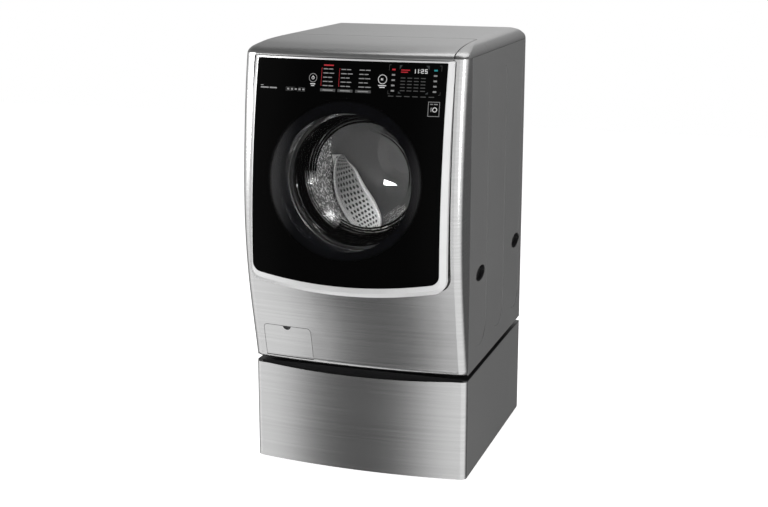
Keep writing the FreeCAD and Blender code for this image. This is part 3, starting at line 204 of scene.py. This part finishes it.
# %% [markdown]
# ## Moulded plastics
# The plastics of the machine differ in colour and gloss. What they share is the fine spark-eroded grain of the
# mould and the flow clouds under it, so one function mixes them all. The last one is the polished ring that
# frames the window: nearly black, and so smooth that it draws thin arcs of light.

# %% Mix the plastics
def plastic(name, colour, rough, metal=0.0, grain=900.0, depth=0.0002):
    skin = Recipe(name, metallic=metal, specular_ior_level=0.5)
    fine = skin.noise(grain, (1, 1, 1), 2.0)
    flow = skin.noise(14.0, (1, 1, 1), 2.0)
    dark = tuple(c * 0.9 for c in colour[:3]) + (1.0,)
    skin.set(base_color=skin.mix(flow, dark, colour),
             roughness=rough + (fine - 0.5) * 0.10 + (flow - 0.5) * 0.06)
    return skin.bump(fine, depth, 0.4)


finishes["silver_plastic"] = plastic("silver_plastic", grey(0.42), 0.30, 0.90)
finishes["door_silver"] = plastic("door_silver", grey(0.84), 0.30, 0.55, 1600.0, 0.00005)
finishes["lifter_plastic"] = plastic("lifter_plastic", grey(0.16), 0.35)
finishes["tub_plastic"] = plastic("tub_plastic", (0.52, 0.53, 0.55, 1.0), 0.5)
finishes["white_plastic"] = plastic("white_plastic", (0.78, 0.78, 0.77, 1.0), 0.4)
finishes["grey_plastic"] = plastic("grey_plastic", (0.17, 0.175, 0.18, 1.0), 0.45)
finishes["black_plastic"] = plastic("black_plastic", (0.016, 0.016, 0.017, 1.0), 0.38)
ring_gloss = plastic("ring_gloss", (0.005, 0.006, 0.010, 1.0), 0.07, 0.0, 1600.0, 0.00001)
print("plastics mixed")

# %% [markdown]
# ## Rubber
# Two rubbers are used: soft grey EPDM for the bellows and hoses, and hard black rubber under the feet. Rubber has
# a dull bloom that sits in patches, so the roughness varies more than the colour does.

# %% Mix the rubbers
def rubber(name, tone, rough):
    skin = Recipe(name, specular_ior_level=0.35)
    bloom = skin.noise(35.0, (1, 1, 1), 4.0)
    dust = skin.noise(700.0, (1, 1, 1), 2.0)
    skin.set(base_color=skin.mix(bloom, grey(tone * 0.8), grey(tone * 1.25)),
             roughness=rough + (bloom - 0.5) * 0.2)
    return skin.bump(dust, 0.0002, 0.4)


finishes["grey_rubber"] = rubber("grey_rubber", 0.10, 0.55)
finishes["foot_rubber"] = rubber("foot_rubber", 0.018, 0.7)

# %% [markdown]
# ## Bare metals and the heavy parts
# Springs and brackets are zinc plated, with the mottled spangle that plating leaves. Shafts are ground bright. The
# spider and the motor cup are cast aluminium with a sand-cast skin, and the balance weights are concrete.

# %% Mix the bare metals
def metal(name, tone, rough, scale, depth, warm=0.0):
    skin = Recipe(name, metallic=1.0)
    spangle = skin.noise(scale, (1, 1, 1), 3.0)
    wear = skin.noise(9.0, (1, 1, 1), 3.0)
    skin.set(base_color=skin.mix(spangle, grey(tone * 0.82, warm), grey(tone, warm)),
             roughness=rough + (spangle - 0.5) * 0.15 + (wear - 0.5) * 0.1)
    return skin.bump(spangle, depth, 0.4)


finishes["zinc_steel"] = metal("zinc_steel", 0.55, 0.38, 90.0, 0.0001, 0.01)
finishes["bright_steel"] = metal("bright_steel", 0.72, 0.16, 240.0, 0.00004)
finishes["cast_aluminium"] = metal("cast_aluminium", 0.48, 0.52, 420.0, 0.0005)
finishes["copper_winding"] = metal("copper_winding", 0.45, 0.3, 500.0, 0.0004, 0.45)
concrete = Recipe("concrete", roughness=0.92, specular_ior_level=0.3)
grit = concrete.noise(240.0, (1, 1, 1), 5.0)
cloud = concrete.noise(12.0, (1, 1, 1), 3.0)
concrete.set(base_color=concrete.mix(grit * 0.6 + cloud * 0.4, grey(0.22, 0.02), grey(0.42, 0.03)))
finishes["concrete"] = concrete.bump(grit, 0.001, 0.5)
board = Recipe("circuit_board", specular_ior_level=0.5)
tracks = board.noise(120.0, (1, 1, 6), 0.0)
board.set(base_color=board.mix(board.spread(tracks, 0.52, 0.56), (0.01, 0.09, 0.04, 1), (0.03, 0.16, 0.07, 1)),
          roughness=0.35 + tracks * 0.2)
finishes["circuit_board"] = board.bump(board.spread(tracks, 0.52, 0.56), 0.0001, 0.5)
print(len(finishes), "finishes so far")

# %% [markdown]
# ## The drum's perforated steel
# The drum is rolled from polished stainless sheet, punched with rows of small drain holes that sit half a step
# off from row to row. Real holes by the thousand would make a huge mesh, so the pattern is painted: the angle
# round the axle times the radius gives the distance along the sheet, and a repeating cell with a round dot in it,
# shifted on every second row, gives the holes. The bump sinks them, and their dark colour is painted shade of the
# openings. Between them a fine noise with a sharp step scatters painted glints, bright specks of light in the
# colour, on the wall only.

# %% Mix the drum steel
AXLE_Z = 0.940
DRUM_RADIUS = 0.285
HOLE_STEP = 0.0128
ROW_STEP = 0.011


def drum_steel(name):
    steel = Recipe(name, metallic=1.0)
    x, y, z = steel.xyz()
    up = z - AXLE_Z
    radius = (x * x + up * up) ** 0.5
    along = x.math("ARCTAN2", up) * DRUM_RADIUS
    row = (y / ROW_STEP).math("FLOOR")
    shift = row.math("MODULO", 2.0).math("ABSOLUTE") * 0.5
    u = (along / HOLE_STEP + shift).math("FRACT") - 0.5
    v = (y / ROW_STEP).math("FRACT") - 0.5
    dot = (u * u * 1.35 + v * v) ** 0.5
    wall = radius > DRUM_RADIUS - 0.006
    # the dark colour of the holes is painted shade of the openings
    shaded_hole = (1 - steel.spread(dot, 0.13, 0.19)) * wall
    speckle = steel.noise(130.0, (1, 1, 1), 1.0)
    # bright specks on the wall are painted glints of light in the base colour
    painted_glint = steel.spread(speckle, 0.50, 0.60) * wall
    steel.set(base_color=steel.mix(shaded_hole, steel.mix(painted_glint, grey(0.10), grey(0.95)), grey(0.02)),
              roughness=0.34 + (speckle - 0.5) * 0.12 + shaded_hole * 0.4, metallic=0.55 - shaded_hole * 0.55)
    return steel.bump(1 - shaded_hole, 0.0008, 0.5)


finishes["drum_stainless"] = drum_steel("drum_stainless")
print("drum steel uses", len(finishes["drum_stainless"].tree.nodes), "nodes")

# %% [markdown]
# ## Glass
# Clear glass bends little light at this scale, and what the eye reads is its mirror layer: weak when looked at
# straight on, strong at a glance. So the glass is a see-through shader and a mirror, mixed by Fresnel. The outer
# pane is printed black on its inside except for a round window, so its finish has a third layer: a black gloss
# that takes over outside the window's radius, with a soft edge where the print fades out in dots.

# %% Mix the glass
def see_through(recipe, tint, boost, rough=0.03):
    clear = recipe.node("ShaderNodeBsdfTransparent", None, {"Color": grey(tint)})
    recipe.set(base_color=grey(0.9), metallic=1.0, roughness=rough)
    gloss = recipe.node("ShaderNodeFresnel", None, {"IOR": 1.5}) * boost
    return recipe.node("ShaderNodeMixShader", None,
                       {0: gloss, 1: clear, 2: Value(recipe, recipe.shader.outputs[0])})


clear_glass = Recipe("clear_glass")
clear_glass.feed(clear_glass.out.inputs[0], see_through(clear_glass, 0.92, 1.1))
finishes["clear_glass"] = clear_glass

WINDOW_X = 0.0
WINDOW_Z = 0.957
WINDOW_R = 0.236
pane = Recipe("black_glass")
window = see_through(pane, 0.80, 0.8, 0.02)
x, y, z = pane.xyz()
away = ((x - WINDOW_X) * (x - WINDOW_X) + (z - WINDOW_Z) * (z - WINDOW_Z)) ** 0.5
wipe = pane.noise(6.0, (1, 1, 1), 3.0)
black = pane.node("ShaderNodeBsdfPrincipled", None,
                  {"Base Color": grey(0.0015), "Roughness": 0.05 + wipe * 0.04, "IOR": 1.5,
                   "Specular IOR Level": 0.02})
printed = pane.spread(away, WINDOW_R - 0.004, WINDOW_R + 0.006)
pane.feed(pane.out.inputs[0], pane.node("ShaderNodeMixShader", None, {0: printed, 1: window, 2: black}))
finishes["black_glass"] = pane
print("finishes:", ", ".join(sorted(finishes)))

# %% [markdown]
# ## Hand the finishes to the CAD nodes
# The record of the machine says which finish each solid has. A CAD node keeps its mesh, and only its material
# slot is filled. Curved faces are already smooth in the CAD mesh. A few pieces get a finish of their own: the
# ring and the cover round the window are polished, the rim of the drum's mouth is bright, and the parts that lie
# in the gaps round the drawer and behind the service door are made black as painted shade of those gaps.

# %% Give every CAD node its finish
slot_of = {row["node"]: row["material_slot"] for row in frame["record"]["subparts"]}


def finish_node(name, recipe):
    node = nodes[name]
    node.data.materials.clear()
    node.data.materials.append(recipe.material)


for name in nodes:
    finish_node(name, finishes[slot_of[name]])
finish_node("door_window_ring", ring_gloss)
finish_node("door_inner_cover", ring_gloss)
finish_node("drum_front_ring", finishes["bright_steel"])
# painted shade: these parts in the gaps round the drawer and behind the service door are made black
for name in ("pedestal_deck", "cabinet_base_pan", "drawer_front_liner", "service_frame"):
    finish_node(name, finishes["black_plastic"])
print("finished", len(nodes), "nodes")

# %% [markdown]
# ## Modelling by hand, in code
# A person at the keyboard adds a primitive, tabs into edit mode, picks faces with the mouse and extrudes or
# insets them. The helpers here do the same. The only difference is that faces are picked by a test on their
# middle and normal. Everything is deselected before each step, because the operators act on all that is selected.

# %% Helpers for edit mode
def deselect():
    if bpy.context.object is not None and bpy.context.object.mode != "OBJECT":
        bpy.ops.object.mode_set(mode="OBJECT")
    bpy.ops.object.select_all(action="DESELECT")


def only(piece):
    deselect()
    piece.select_set(True)
    bpy.context.view_layer.objects.active = piece
    return piece


def add(kind, name, **options):
    deselect()
    getattr(bpy.ops.mesh, "primitive_" + kind + "_add")(**options)
    piece = bpy.context.active_object
    piece.name = name
    piece.data.name = name
    return piece


def edit(piece):
    only(piece)
    bpy.ops.object.mode_set(mode="EDIT")
    bpy.ops.mesh.select_mode(type="FACE")
    bpy.ops.mesh.select_all(action="DESELECT")


def pick(piece, test):
    mesh = bmesh.from_edit_mesh(piece.data)
    for face in mesh.faces:
        face.select_set(bool(test(face)))
    mesh.select_flush_mode()
    bmesh.update_edit_mesh(piece.data)


def apply(piece, kind, **settings):
    only(piece)
    modifier = piece.modifiers.new(kind.title(), kind)
    for key, value in settings.items():
        setattr(modifier, key, value)
    bpy.ops.object.modifier_apply(modifier=modifier.name)


def settle(piece, body, finish, angle=40.0):
    only(piece)
    bpy.ops.object.transform_apply(location=True, rotation=True, scale=True)
    bpy.ops.object.shade_smooth_by_angle(angle=math.radians(angle))
    piece.data.materials.clear()
    piece.data.materials.append(finish.material)
    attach(piece, body)
    return piece


# %% [markdown]
# ## The printed signs on the glass
# The controls are touch fields: the only thing to see on the glass is the print, lit from behind. Each colour is
# one thin sheet of small rectangles, in millimetres across and up. They are laid flat in front of the pane and
# then pushed back on to it by a Shrinkwrap modifier, a fifth of a millimetre proud, so they follow its bow.

# %% Signs that glow a little
def sign(name, colour, glow):
    ink = Recipe(name, roughness=0.4, specular_ior_level=0.3, emission_strength=glow)
    speck = ink.noise(800.0, (1, 1, 1), 1.0)
    faint = tuple(c * 0.8 for c in colour[:3]) + (1.0,)
    ink.set(base_color=ink.mix(speck, faint, colour), emission_color=ink.mix(speck, faint, colour))
    return ink


white_ink = sign("white_ink", grey(0.55), 0.25)
grey_ink = sign("grey_ink", grey(0.22), 0.10)
dim_ink = sign("dim_ink", grey(0.055), 0.02)
red_ink = sign("red_ink", (0.38, 0.012, 0.02, 1.0), 0.16)
cyan_ink = sign("cyan_ink", (0.015, 0.22, 0.24, 1.0), 0.2)
lcd_ink = sign("lcd_ink", (0.030, 0.034, 0.036, 1.0), 0.05)
BEFORE_PANE = -0.5
UPRIGHT = (math.pi / 2, 0, 0)
FIELD_PRINT = 0.00015
FIRST_PRINT = 0.0002
SECOND_PRINT = 0.0003


def on_the_pane(piece, ink, lift):
    only(piece)
    bpy.ops.object.transform_apply(location=True, rotation=True, scale=True)
    apply(piece, "SHRINKWRAP", target=nodes["door_glass"], wrap_method="PROJECT", use_project_y=True,
          use_project_x=False, use_project_z=False, use_positive_direction=True, use_negative_direction=False,
          wrap_mode="ABOVE_SURFACE", offset=lift)
    return settle(piece, "door", ink)


def bars(name, shapes, ink, lift=FIRST_PRINT):
    piece = add("plane", name, size=0.001, location=(0, BEFORE_PANE, 1.2), rotation=UPRIGHT)
    edit(piece)
    for x0, x1, z0, z1 in shapes:
        middle = ((x0 + x1) / 2000, BEFORE_PANE, (z0 + z1) / 2000)
        bpy.ops.mesh.primitive_plane_add(size=1.0, location=middle, rotation=UPRIGHT)
        bpy.ops.transform.resize(value=((x1 - x0) / 1000, 1, (z1 - z0) / 1000), center_override=middle)
    # the first small plane only opened the mesh, so it goes
    pick(piece, lambda f: abs(f.calc_center_median().x) < 1e-6 and abs(f.calc_center_median().z - 1.2) < 1e-6)
    bpy.ops.mesh.delete(type="FACE")
    return on_the_pane(piece, ink, lift)


columns = [-78, -22, 34]
rows = [1285.0 - 12.0 * k for k in range(5)]
lengths = [[30, 34, 28, 31, 33], [30, 36, 27, 33, 30], [34, 29, 35, 28, 38]]
red_bars = [(-78, -47, 1290.5, 1294)]
white_bars = []
for x0, sizes in zip(columns, lengths):
    for z, size in zip(rows, sizes):
        white_bars.append((x0, x0 + size * 0.48, z - 4.6, z - 2.0))
        white_bars.append((x0 + size * 0.56, x0 + size, z - 4.6, z - 2.0))
for x in (-84, -28):
    red_bars.append((x, x + 1, 1233, 1284))
    red_bars.append((x, x + 3, 1283, 1284))
    red_bars.append((x, x + 3, 1233, 1234))
pill_bars = [(-85, -37, 1217, 1225), (-30, 17, 1217, 1225), (25, 73, 1217, 1225)]
print("bars:", len(white_bars) + len(red_bars) + len(pill_bars))

# %% Lay the bars on the glass
bars("programme_list_print", white_bars, grey_ink)
bars("red_print", red_bars, red_ink)
bars("key_print", pill_bars, dim_ink)
key_words = [(x0 + 8, x1 - 8, z0 + 2.6, z1 - 2.6) for x0, x1, z0, z1 in pill_bars]
bars("key_word_print", key_words, grey_ink, SECOND_PRINT)

# %% [markdown]
# ## The start and power keys
# Both keys are printed as a ring with a small mark inside and two short words below. A ring is a filled circle,
# inset by the width of the line, and its middle, which stays picked, is deleted.

# %% Draw a ring
def ring(name, x, z, radius, line, ink, lift=FIRST_PRINT):
    piece = add("circle", name, vertices=48, radius=radius / 1000, fill_type="NGON",
                location=(x / 1000, BEFORE_PANE, z / 1000), rotation=UPRIGHT)
    edit(piece)
    bpy.ops.mesh.select_all(action="SELECT")
    bpy.ops.mesh.inset(thickness=line / 1000)
    bpy.ops.mesh.delete(type="FACE")
    return on_the_pane(piece, ink, lift)


ring("power_key_ring", -110, 1254.6, 13, 1.6, grey_ink)
ring("start_key_ring", 106, 1257.6, 13.5, 1.6, white_ink)
ring("power_key_mark", -110, 1254.6, 4.6, 1.3, white_ink)
power_marks = [(-110.7, -109.3, 1254, 1261), (-118, -102, 1236, 1238.4), (-115, -105, 1231, 1233)]
start_marks = [(101.5, 104.0, 1254.6, 1260.6), (105.5, 107.5, 1254.6, 1260.6), (94, 118, 1238.6, 1241),
               (98, 114, 1233.6, 1236)]
bars("key_marks", power_marks + start_marks, white_ink)

# %% [markdown]
# ## The display
# The display is a dark field with big seven-segment numbers for the time left, small red labels beside them, a
# faint grid of words below and lit icons left and right. The numbers are built from the seven strokes that such
# a display really has.

# %% Seven-segment numbers
STROKES = {"0": "abcdef", "1": "bc", "2": "abged", "3": "abgcd", "4": "fgbc", "5": "afgcd",
           "6": "afgedc", "7": "abc", "8": "abcdefg", "9": "abcdfg"}


def digit(figure, x, z, wide, high, line):
    right = x + wide
    middle = z + high / 2
    top = z + high
    at = {"a": (x, right, top - line, top), "g": (x, right, middle - line / 2, middle + line / 2),
          "d": (x, right, z, z + line), "f": (x, x + line, middle, top), "e": (x, x + line, z, middle),
          "b": (right - line, right, middle, top), "c": (right - line, right, z, middle)}
    return [at[stroke] for stroke in STROKES[figure]]


bars("display_field", [(155, 243, 1219, 1299)], lcd_ink, FIELD_PRINT)
strokes = digit("1", 196, 1277, 7, 12, 2) + digit("1", 205, 1277, 7, 12, 2)
strokes += digit("2", 219, 1277, 8, 12, 2) + digit("5", 230, 1277, 8, 12, 2)
strokes += [(214.5, 216.3, 1279, 1281), (214.5, 216.3, 1285, 1287)]
bars("display_numbers", strokes, white_ink, SECOND_PRINT)
bars("display_labels", [(160, 186, 1284, 1287), (160, 180, 1278, 1281)], red_ink, SECOND_PRINT)
grid = []
for k in range(5):
    for j in range(4):
        grid.append((160 + 20 * j, 174 + 20 * j, 1262 - 9 * k, 1264.5 - 9 * k))
bars("display_grid", grid, dim_ink, SECOND_PRINT)
icons = []
for k in range(5):
    icons.append((133, 143, 1284 - 15 * k, 1288.5 - 15 * k))
    icons.append((257, 267, 1284 - 15 * k, 1288.5 - 15 * k))
bars("side_icons", icons[2:], grey_ink)
bars("side_icon_red", icons[:1], red_ink)
bars("side_icon_cyan", icons[1:2], cyan_ink)
bars("display_notes", [(126 + 24 * k, 142 + 24 * k, 1210, 1212.4) for k in range(6)], dim_ink)

# %% [markdown]
# ## The frames and the small rows
# A thin line frames the display. Under it is a square tag with a ring in it, and at the left end of the glass are
# a row of symbols and two short lines of plain bars.

# %% Frames, tag and rows
def outline(x0, x1, z0, z1, line):
    return [(x0, x1, z1 - line, z1), (x0, x1, z0, z0 + line), (x0, x0 + line, z0, z1), (x1 - line, x1, z0, z1)]


bars("display_outline", outline(124, 279, 1217, 1300, 0.9), dim_ink)
bars("tag_outline", outline(246, 280, 1156.6, 1198.6, 1.6), grey_ink)
bars("tag_label", [(252, 260, 1190, 1192.6), (263, 274, 1190, 1192.6), (254, 257, 1170, 1182)], grey_ink)
ring("tag_ring", 266, 1176, 7.0, 2.0, white_ink)
bars("symbol_row", outline(-196, -134, 1214, 1225, 0.8), dim_ink)
bars("symbol_marks", [(-192 + 12.4 * k, -185 + 12.4 * k, 1217, 1222) for k in range(5)], grey_ink)
bars("model_line", [(-281, -272, 1226, 1228), (-281, -254, 1218.6, 1222.4), (-251, -227, 1218.6, 1222.4)],
     grey_ink)

# %% [markdown]
# ## The drum's lifters
# Three lifters carry the wash up the wall. Each is a broad leaf of polished sheet that winds along the wall from
# the back of the drum to the bottom edge of its mouth: a dimpled face, a raised rim round it, and a plain flank
# behind the crest. A grid is a good start for a winding sheet, because its rows become the lines along the leaf
# and its own UV map stays on the surface for the dimples. Its points are moved on to two guide curves, the root
# on the wall and the crest, and the other two lifters are turned copies.

# %% The guide curves of one lifter
# each point: angle round the axle in degrees, radius from the axle, place along it
ROOT = [(184, 0.238, 0.226), (188, 0.259, 0.214), (201, 0.273, 0.186), (214, 0.275, 0.146),
        (231, 0.275, 0.102), (243, 0.275, 0.080), (256, 0.272, 0.058)]
CREST = [(184, 0.230, 0.226), (190, 0.206, 0.200), (200, 0.176, 0.178), (225, 0.165, 0.142),
         (243, 0.172, 0.115), (256, 0.207, 0.092), (257, 0.266, 0.058)]
LIFTER_U = 36
LIFTER_V = 16
CREST_AT = 0.66
FOOT_RADIUS = 0.275
DRUM_BACK_Y = 0.229
SHEET = 0.0012


def ramp(value, start, length):
    return min(max((value - start) / length, 0.0), 1.0)


def on_curve(guide, u):
    place = u * (len(guide) - 1)
    k = min(int(place), len(guide) - 2)
    before, start = guide[max(k - 1, 0)], guide[k]
    end, after = guide[k + 1], guide[min(k + 2, len(guide) - 1)]
    t = place - k
    return [0.5 * (2 * p1 + (p2 - p0) * t + (2 * p0 - 5 * p1 + 4 * p2 - p3) * t * t
                   + (3 * p1 - p0 - 3 * p2 + p3) * t ** 3)
            for p0, p1, p2, p3 in zip(before, start, end, after)]


def at_drum(angle, radius, y):
    a = math.radians(angle)
    return Vector((radius * math.cos(a), y, AXLE_Z + radius * math.sin(a)))


# u runs along the leaf from the back of the drum, v across it: up the dimpled face to the crest, then down the flank
def lifter_point(u, v):
    root = at_drum(*on_curve(ROOT, u))
    crest = at_drum(*on_curve(CREST, u))
    ends = math.sin(math.pi * u) ** 0.5
    if v <= CREST_AT:
        t = v / CREST_AT
        face = root.lerp(crest, t)
        rim = min(t, 1 - t)
        sunk = ramp(rim, 0.07, 0.08) * ramp(min(u, 1 - u), 0.05, 0.06)
        return face + Vector((0, 0.007 * sunk - 0.012 * ends * math.sin(math.pi * t), 0))
    t = (v - CREST_AT) / (1 - CREST_AT)
    angle, radius, y = on_curve(ROOT, u)
    foot = at_drum(angle + 4 * ends, FOOT_RADIUS, min(y + 0.085 * ends, DRUM_BACK_Y))
    side = crest.lerp(foot, t)
    outward = (crest - root).normalized() * 0.016 * ends * math.sin(math.pi * min(t * 1.6, 1.0))
    return side + outward + Vector((0, 0.022 * ends * math.sin(math.pi * t), 0))


# %% Bend the grid into a lifter
lifter = add("grid", "lifter_1", x_subdivisions=LIFTER_U, y_subdivisions=LIFTER_V, size=1.0)
for point in lifter.data.vertices:
    point.co = lifter_point(min(max(point.co.x + 0.5, 0.0), 1.0), min(max(point.co.y + 0.5, 0.0), 1.0))
edit(lifter)
bpy.ops.mesh.select_all(action="SELECT")
bpy.ops.mesh.normals_make_consistent(inside=False)
apply(lifter, "SOLIDIFY", thickness=SHEET, offset=0.0)
apply(lifter, "SUBSURF", levels=1, render_levels=1)
print("lifter faces:", len(lifter.data.polygons))

# %% [markdown]
# ## Dimpled steel
# The dimples follow the leaf, so the pattern reads the grid's own UV map: rows across, half a step off from one to
# the next, and only inside the rim. Each dimple is sunk by the bump, and its dark colour is painted shade. The
# sheet between them has painted light and shade, darker at the back of the drum and lighter towards its mouth,
# and the rim round the dimples is painted bright as a highlight.

# %% Mix the dimpled steel
DIMPLE_ROWS = 21.0
DIMPLES_ACROSS = 9.0
dimpled = Recipe("dimpled_steel")
sheet_uv = dimpled.node("ShaderNodeUVMap", None, None)
u = dimpled.node("ShaderNodeSeparateXYZ", None, {0: sheet_uv}, 0)
v = dimpled.node("ShaderNodeSeparateXYZ", None, {0: sheet_uv}, 1)
across = v / CREST_AT
row = (u * DIMPLE_ROWS).math("FLOOR")
half_step = row.math("MODULO", 2.0) * 0.5
cell_u = (u * DIMPLE_ROWS).math("FRACT") - 0.5
cell_v = (across * DIMPLES_ACROSS + half_step).math("FRACT") - 0.5
from_middle = (cell_u * cell_u + cell_v * cell_v) ** 0.5
inside = (dimpled.spread(across, 0.14, 0.17) * (1 - dimpled.spread(across, 0.83, 0.86))
          * dimpled.spread(u, 0.09, 0.11) * (1 - dimpled.spread(u, 0.90, 0.93)))
# the dark colour of the dimples is painted shade in the hollows
shaded_dimple = (1 - dimpled.spread(from_middle, 0.27, 0.36)) * inside
haze = dimpled.noise(30.0, (1, 1, 1), 3.0)
# painted light and shade along the leaf: darker at the back of the drum, lighter towards its mouth; the haze mixed
# in is random tone
painted_light_and_haze = dimpled.spread(u, 0.40, 0.78) * 0.75 + haze * 0.25
tone = dimpled.mix(painted_light_and_haze, grey(0.20), grey(0.95))
# the bright rim round the dimples is a painted highlight
rim_highlight = 1 - dimpled.spread(across, 0.05, 0.12) * (1 - dimpled.spread(across, 0.88, 0.95))
tone = dimpled.mix(rim_highlight, tone, grey(0.85))
dimpled.set(base_color=dimpled.mix(shaded_dimple, tone, grey(0.015)), roughness=0.26 + haze * 0.10 + shaded_dimple * 0.3,
            metallic=0.7 - shaded_dimple * 0.6)
dimpled.bump(1 - shaded_dimple, 0.0008, 0.4)
print("dimpled steel uses", len(dimpled.tree.nodes), "nodes")

# %% Turn two copies and seat all three in the drum
settle(lifter, "drum", dimpled, 50.0)
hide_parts("drum_lifters")
for k in (1, 2):
    only(lifter)
    lifter.hide_set(False)
    bpy.ops.object.duplicate()
    other = bpy.context.active_object
    other.name = "lifter_" + str(k + 1)
    other.data.name = other.name
    for point in other.data.vertices:
        arm = math.radians(120 * k)
        x, z = point.co.x, point.co.z - AXLE_Z
        point.co.x = x * math.cos(arm) - z * math.sin(arm)
        point.co.z = AXLE_Z + x * math.sin(arm) + z * math.cos(arm)
    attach(other, "drum")
    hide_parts("drum_lifters")
print("lifters seated")

# %% [markdown]
# ## Studio
# A plain pale floor and a white room. The steel only looks like steel if it has something to mirror: light at
# both sides and a darker space in front of it, which the room's colour gives by direction. The camera stands to
# the right of the machine and looks down on it a little. Three soft lamps stand round the machine, and four small
# ones hang in the mouth of the drum, because hardly any light of the room gets in through the glass.

# %% The camera
AZIMUTH = math.radians(18.42)
ELEVATION = math.radians(13.78)
back = Vector((math.sin(AZIMUTH) * math.cos(ELEVATION), -math.cos(AZIMUTH) * math.cos(ELEVATION),
               math.sin(ELEVATION)))
camera_data = bpy.data.cameras.new("camera")
camera = bpy.data.objects.new("camera", camera_data)
bpy.context.scene.collection.objects.link(camera)
camera.location = (1.38846, -4.19851, 1.72893)
camera.rotation_mode = "QUATERNION"
camera.rotation_quaternion = (-back).to_track_quat("-Z", "Y")
camera_data.lens = 65.21
camera_data.sensor_width = 36.0
camera_data.clip_end = 100.0
bpy.context.scene.camera = camera
bpy.context.scene.view_settings.view_transform = "Standard"

# %% The floor
floor = add("plane", "floor", size=14.0, location=(0, 0, 0))
floor_paint = Recipe("floor_paint", roughness=0.6, specular_ior_level=0.1)
mottle = floor_paint.noise(3.0, (1, 1, 1), 2.0)
floor_paint.set(base_color=floor_paint.mix(mottle, grey(0.90), grey(0.92)), emission_color=grey(1.0),
                emission_strength=0.80)
floor.data.materials.append(floor_paint.material)
floor.visible_glossy = False

# %% The room's light by direction
world = bpy.data.worlds.new("studio")
bpy.context.scene.world = world
world.use_nodes = True
tree = world.node_tree
tree.nodes.clear()
world_out = tree.nodes.new("ShaderNodeOutputWorld")


def world_node(kind, settings=None, inputs=None):
    made = tree.nodes.new(kind)
    for key, value in (settings or {}).items():
        setattr(made, key, value)
    for key, value in (inputs or {}).items():
        if hasattr(value, "is_linked"):
            tree.links.new(value, made.inputs[key])
        else:
            made.inputs[key].default_value = value
    return made


def world_math(operation, *values):
    return world_node("ShaderNodeMath", {"operation": operation}, dict(enumerate(values))).outputs[0]


def world_step(value, low, high, to_low, to_high):
    return world_node("ShaderNodeMapRange", {"interpolation_type": "SMOOTHSTEP"},
                      {"Value": value, "From Min": low, "From Max": high, "To Min": to_low,
                       "To Max": to_high}).outputs[0]


# azimuth 0 is straight out of the front of the machine, and it grows towards the machine's right-hand side
DARK_AT = -0.330
OVERHEAD_LIGHT = 0.16
direction = world_node("ShaderNodeTexCoord").outputs["Generated"]
parts = world_node("ShaderNodeSeparateXYZ", None, {0: direction})
azimuth = world_math("ARCTAN2", parts.outputs[0], world_math("MULTIPLY", parts.outputs[1], -1.0))
turn = world_math("ABSOLUTE", azimuth)
gap = world_math("ABSOLUTE", world_math("SUBTRACT", azimuth, DARK_AT))
front_light = world_step(gap, 0.175, 0.32, 0.06, 1.18)
behind = world_step(turn, 1.3, 2.2, 0.0, 1.0)
rise = world_step(parts.outputs[2], -0.15, 0.18, 0.28, 1.0)
back_light = world_math("MULTIPLY", rise, world_step(azimuth, -2.95, -2.60, 1.0, 0.42))
level = world_math("ADD", world_math("MULTIPLY", front_light, world_math("SUBTRACT", 1.0, behind)),
                   world_math("MULTIPLY", back_light, behind))
overhead = world_step(parts.outputs[2], 0.36, 0.66, 0.0, 1.0)
both = world_math("ADD", world_math("MULTIPLY", level, world_math("SUBTRACT", 1.0, overhead)),
                  world_math("MULTIPLY", overhead, OVERHEAD_LIGHT))
room = world_node("ShaderNodeBackground", None, {"Strength": both})
seen = world_node("ShaderNodeBackground", None, {"Color": (1, 1, 1, 1), "Strength": 1.0})
is_camera = world_node("ShaderNodeLightPath").outputs["Is Camera Ray"]
joined = world_node("ShaderNodeMixShader", None, {0: is_camera, 1: room.outputs[0], 2: seen.outputs[0]})
tree.links.new(joined.outputs[0], world_out.inputs[0])


# %% Soft lamps
def lamp(name, place, aim, size, power):
    data = bpy.data.lights.new(name, "AREA")
    data.shape = "RECTANGLE"
    data.size = size[0]
    data.size_y = size[1]
    data.energy = power
    item = bpy.data.objects.new(name, data)
    bpy.context.scene.collection.objects.link(item)
    item.location = place
    item.rotation_mode = "QUATERNION"
    item.rotation_quaternion = (Vector(aim) - Vector(place)).to_track_quat("-Z", "Y")
    item.visible_camera = False
    return item


lamp("left_softbox", (-3.2, -2.6, 2.2), (0, 0, 0.8), (1.6, 2.6), 90)
lamp("right_softbox", (3.4, -2.2, 1.8), (0, -0.3, 0.7), (1.0, 2.6), 30)
lamp("top_softbox", (0.4, 1.2, 3.6), (0, 0, 0), (2.4, 2.0), 30)
lamp("drum_lamp", (0.08, -0.19, 1.08), (-0.16, 0.12, 0.80), (0.10, 0.05), 3.0)
lamp("drum_side_lamp", (0.13, -0.17, 0.95), (-0.27, 0.04, 0.84), (0.03, 0.12), 0.55)
lamp("leaf_lamp", (0.07, -0.18, 0.93), (0.02, 0.08, 0.73), (0.04, 0.05), 1.0)
fill = lamp("drum_fill_lamp", (0.02, -0.19, 0.96), (-0.10, 0.2, 0.90), (0.24, 0.24), 1.2)
fill.visible_glossy = False
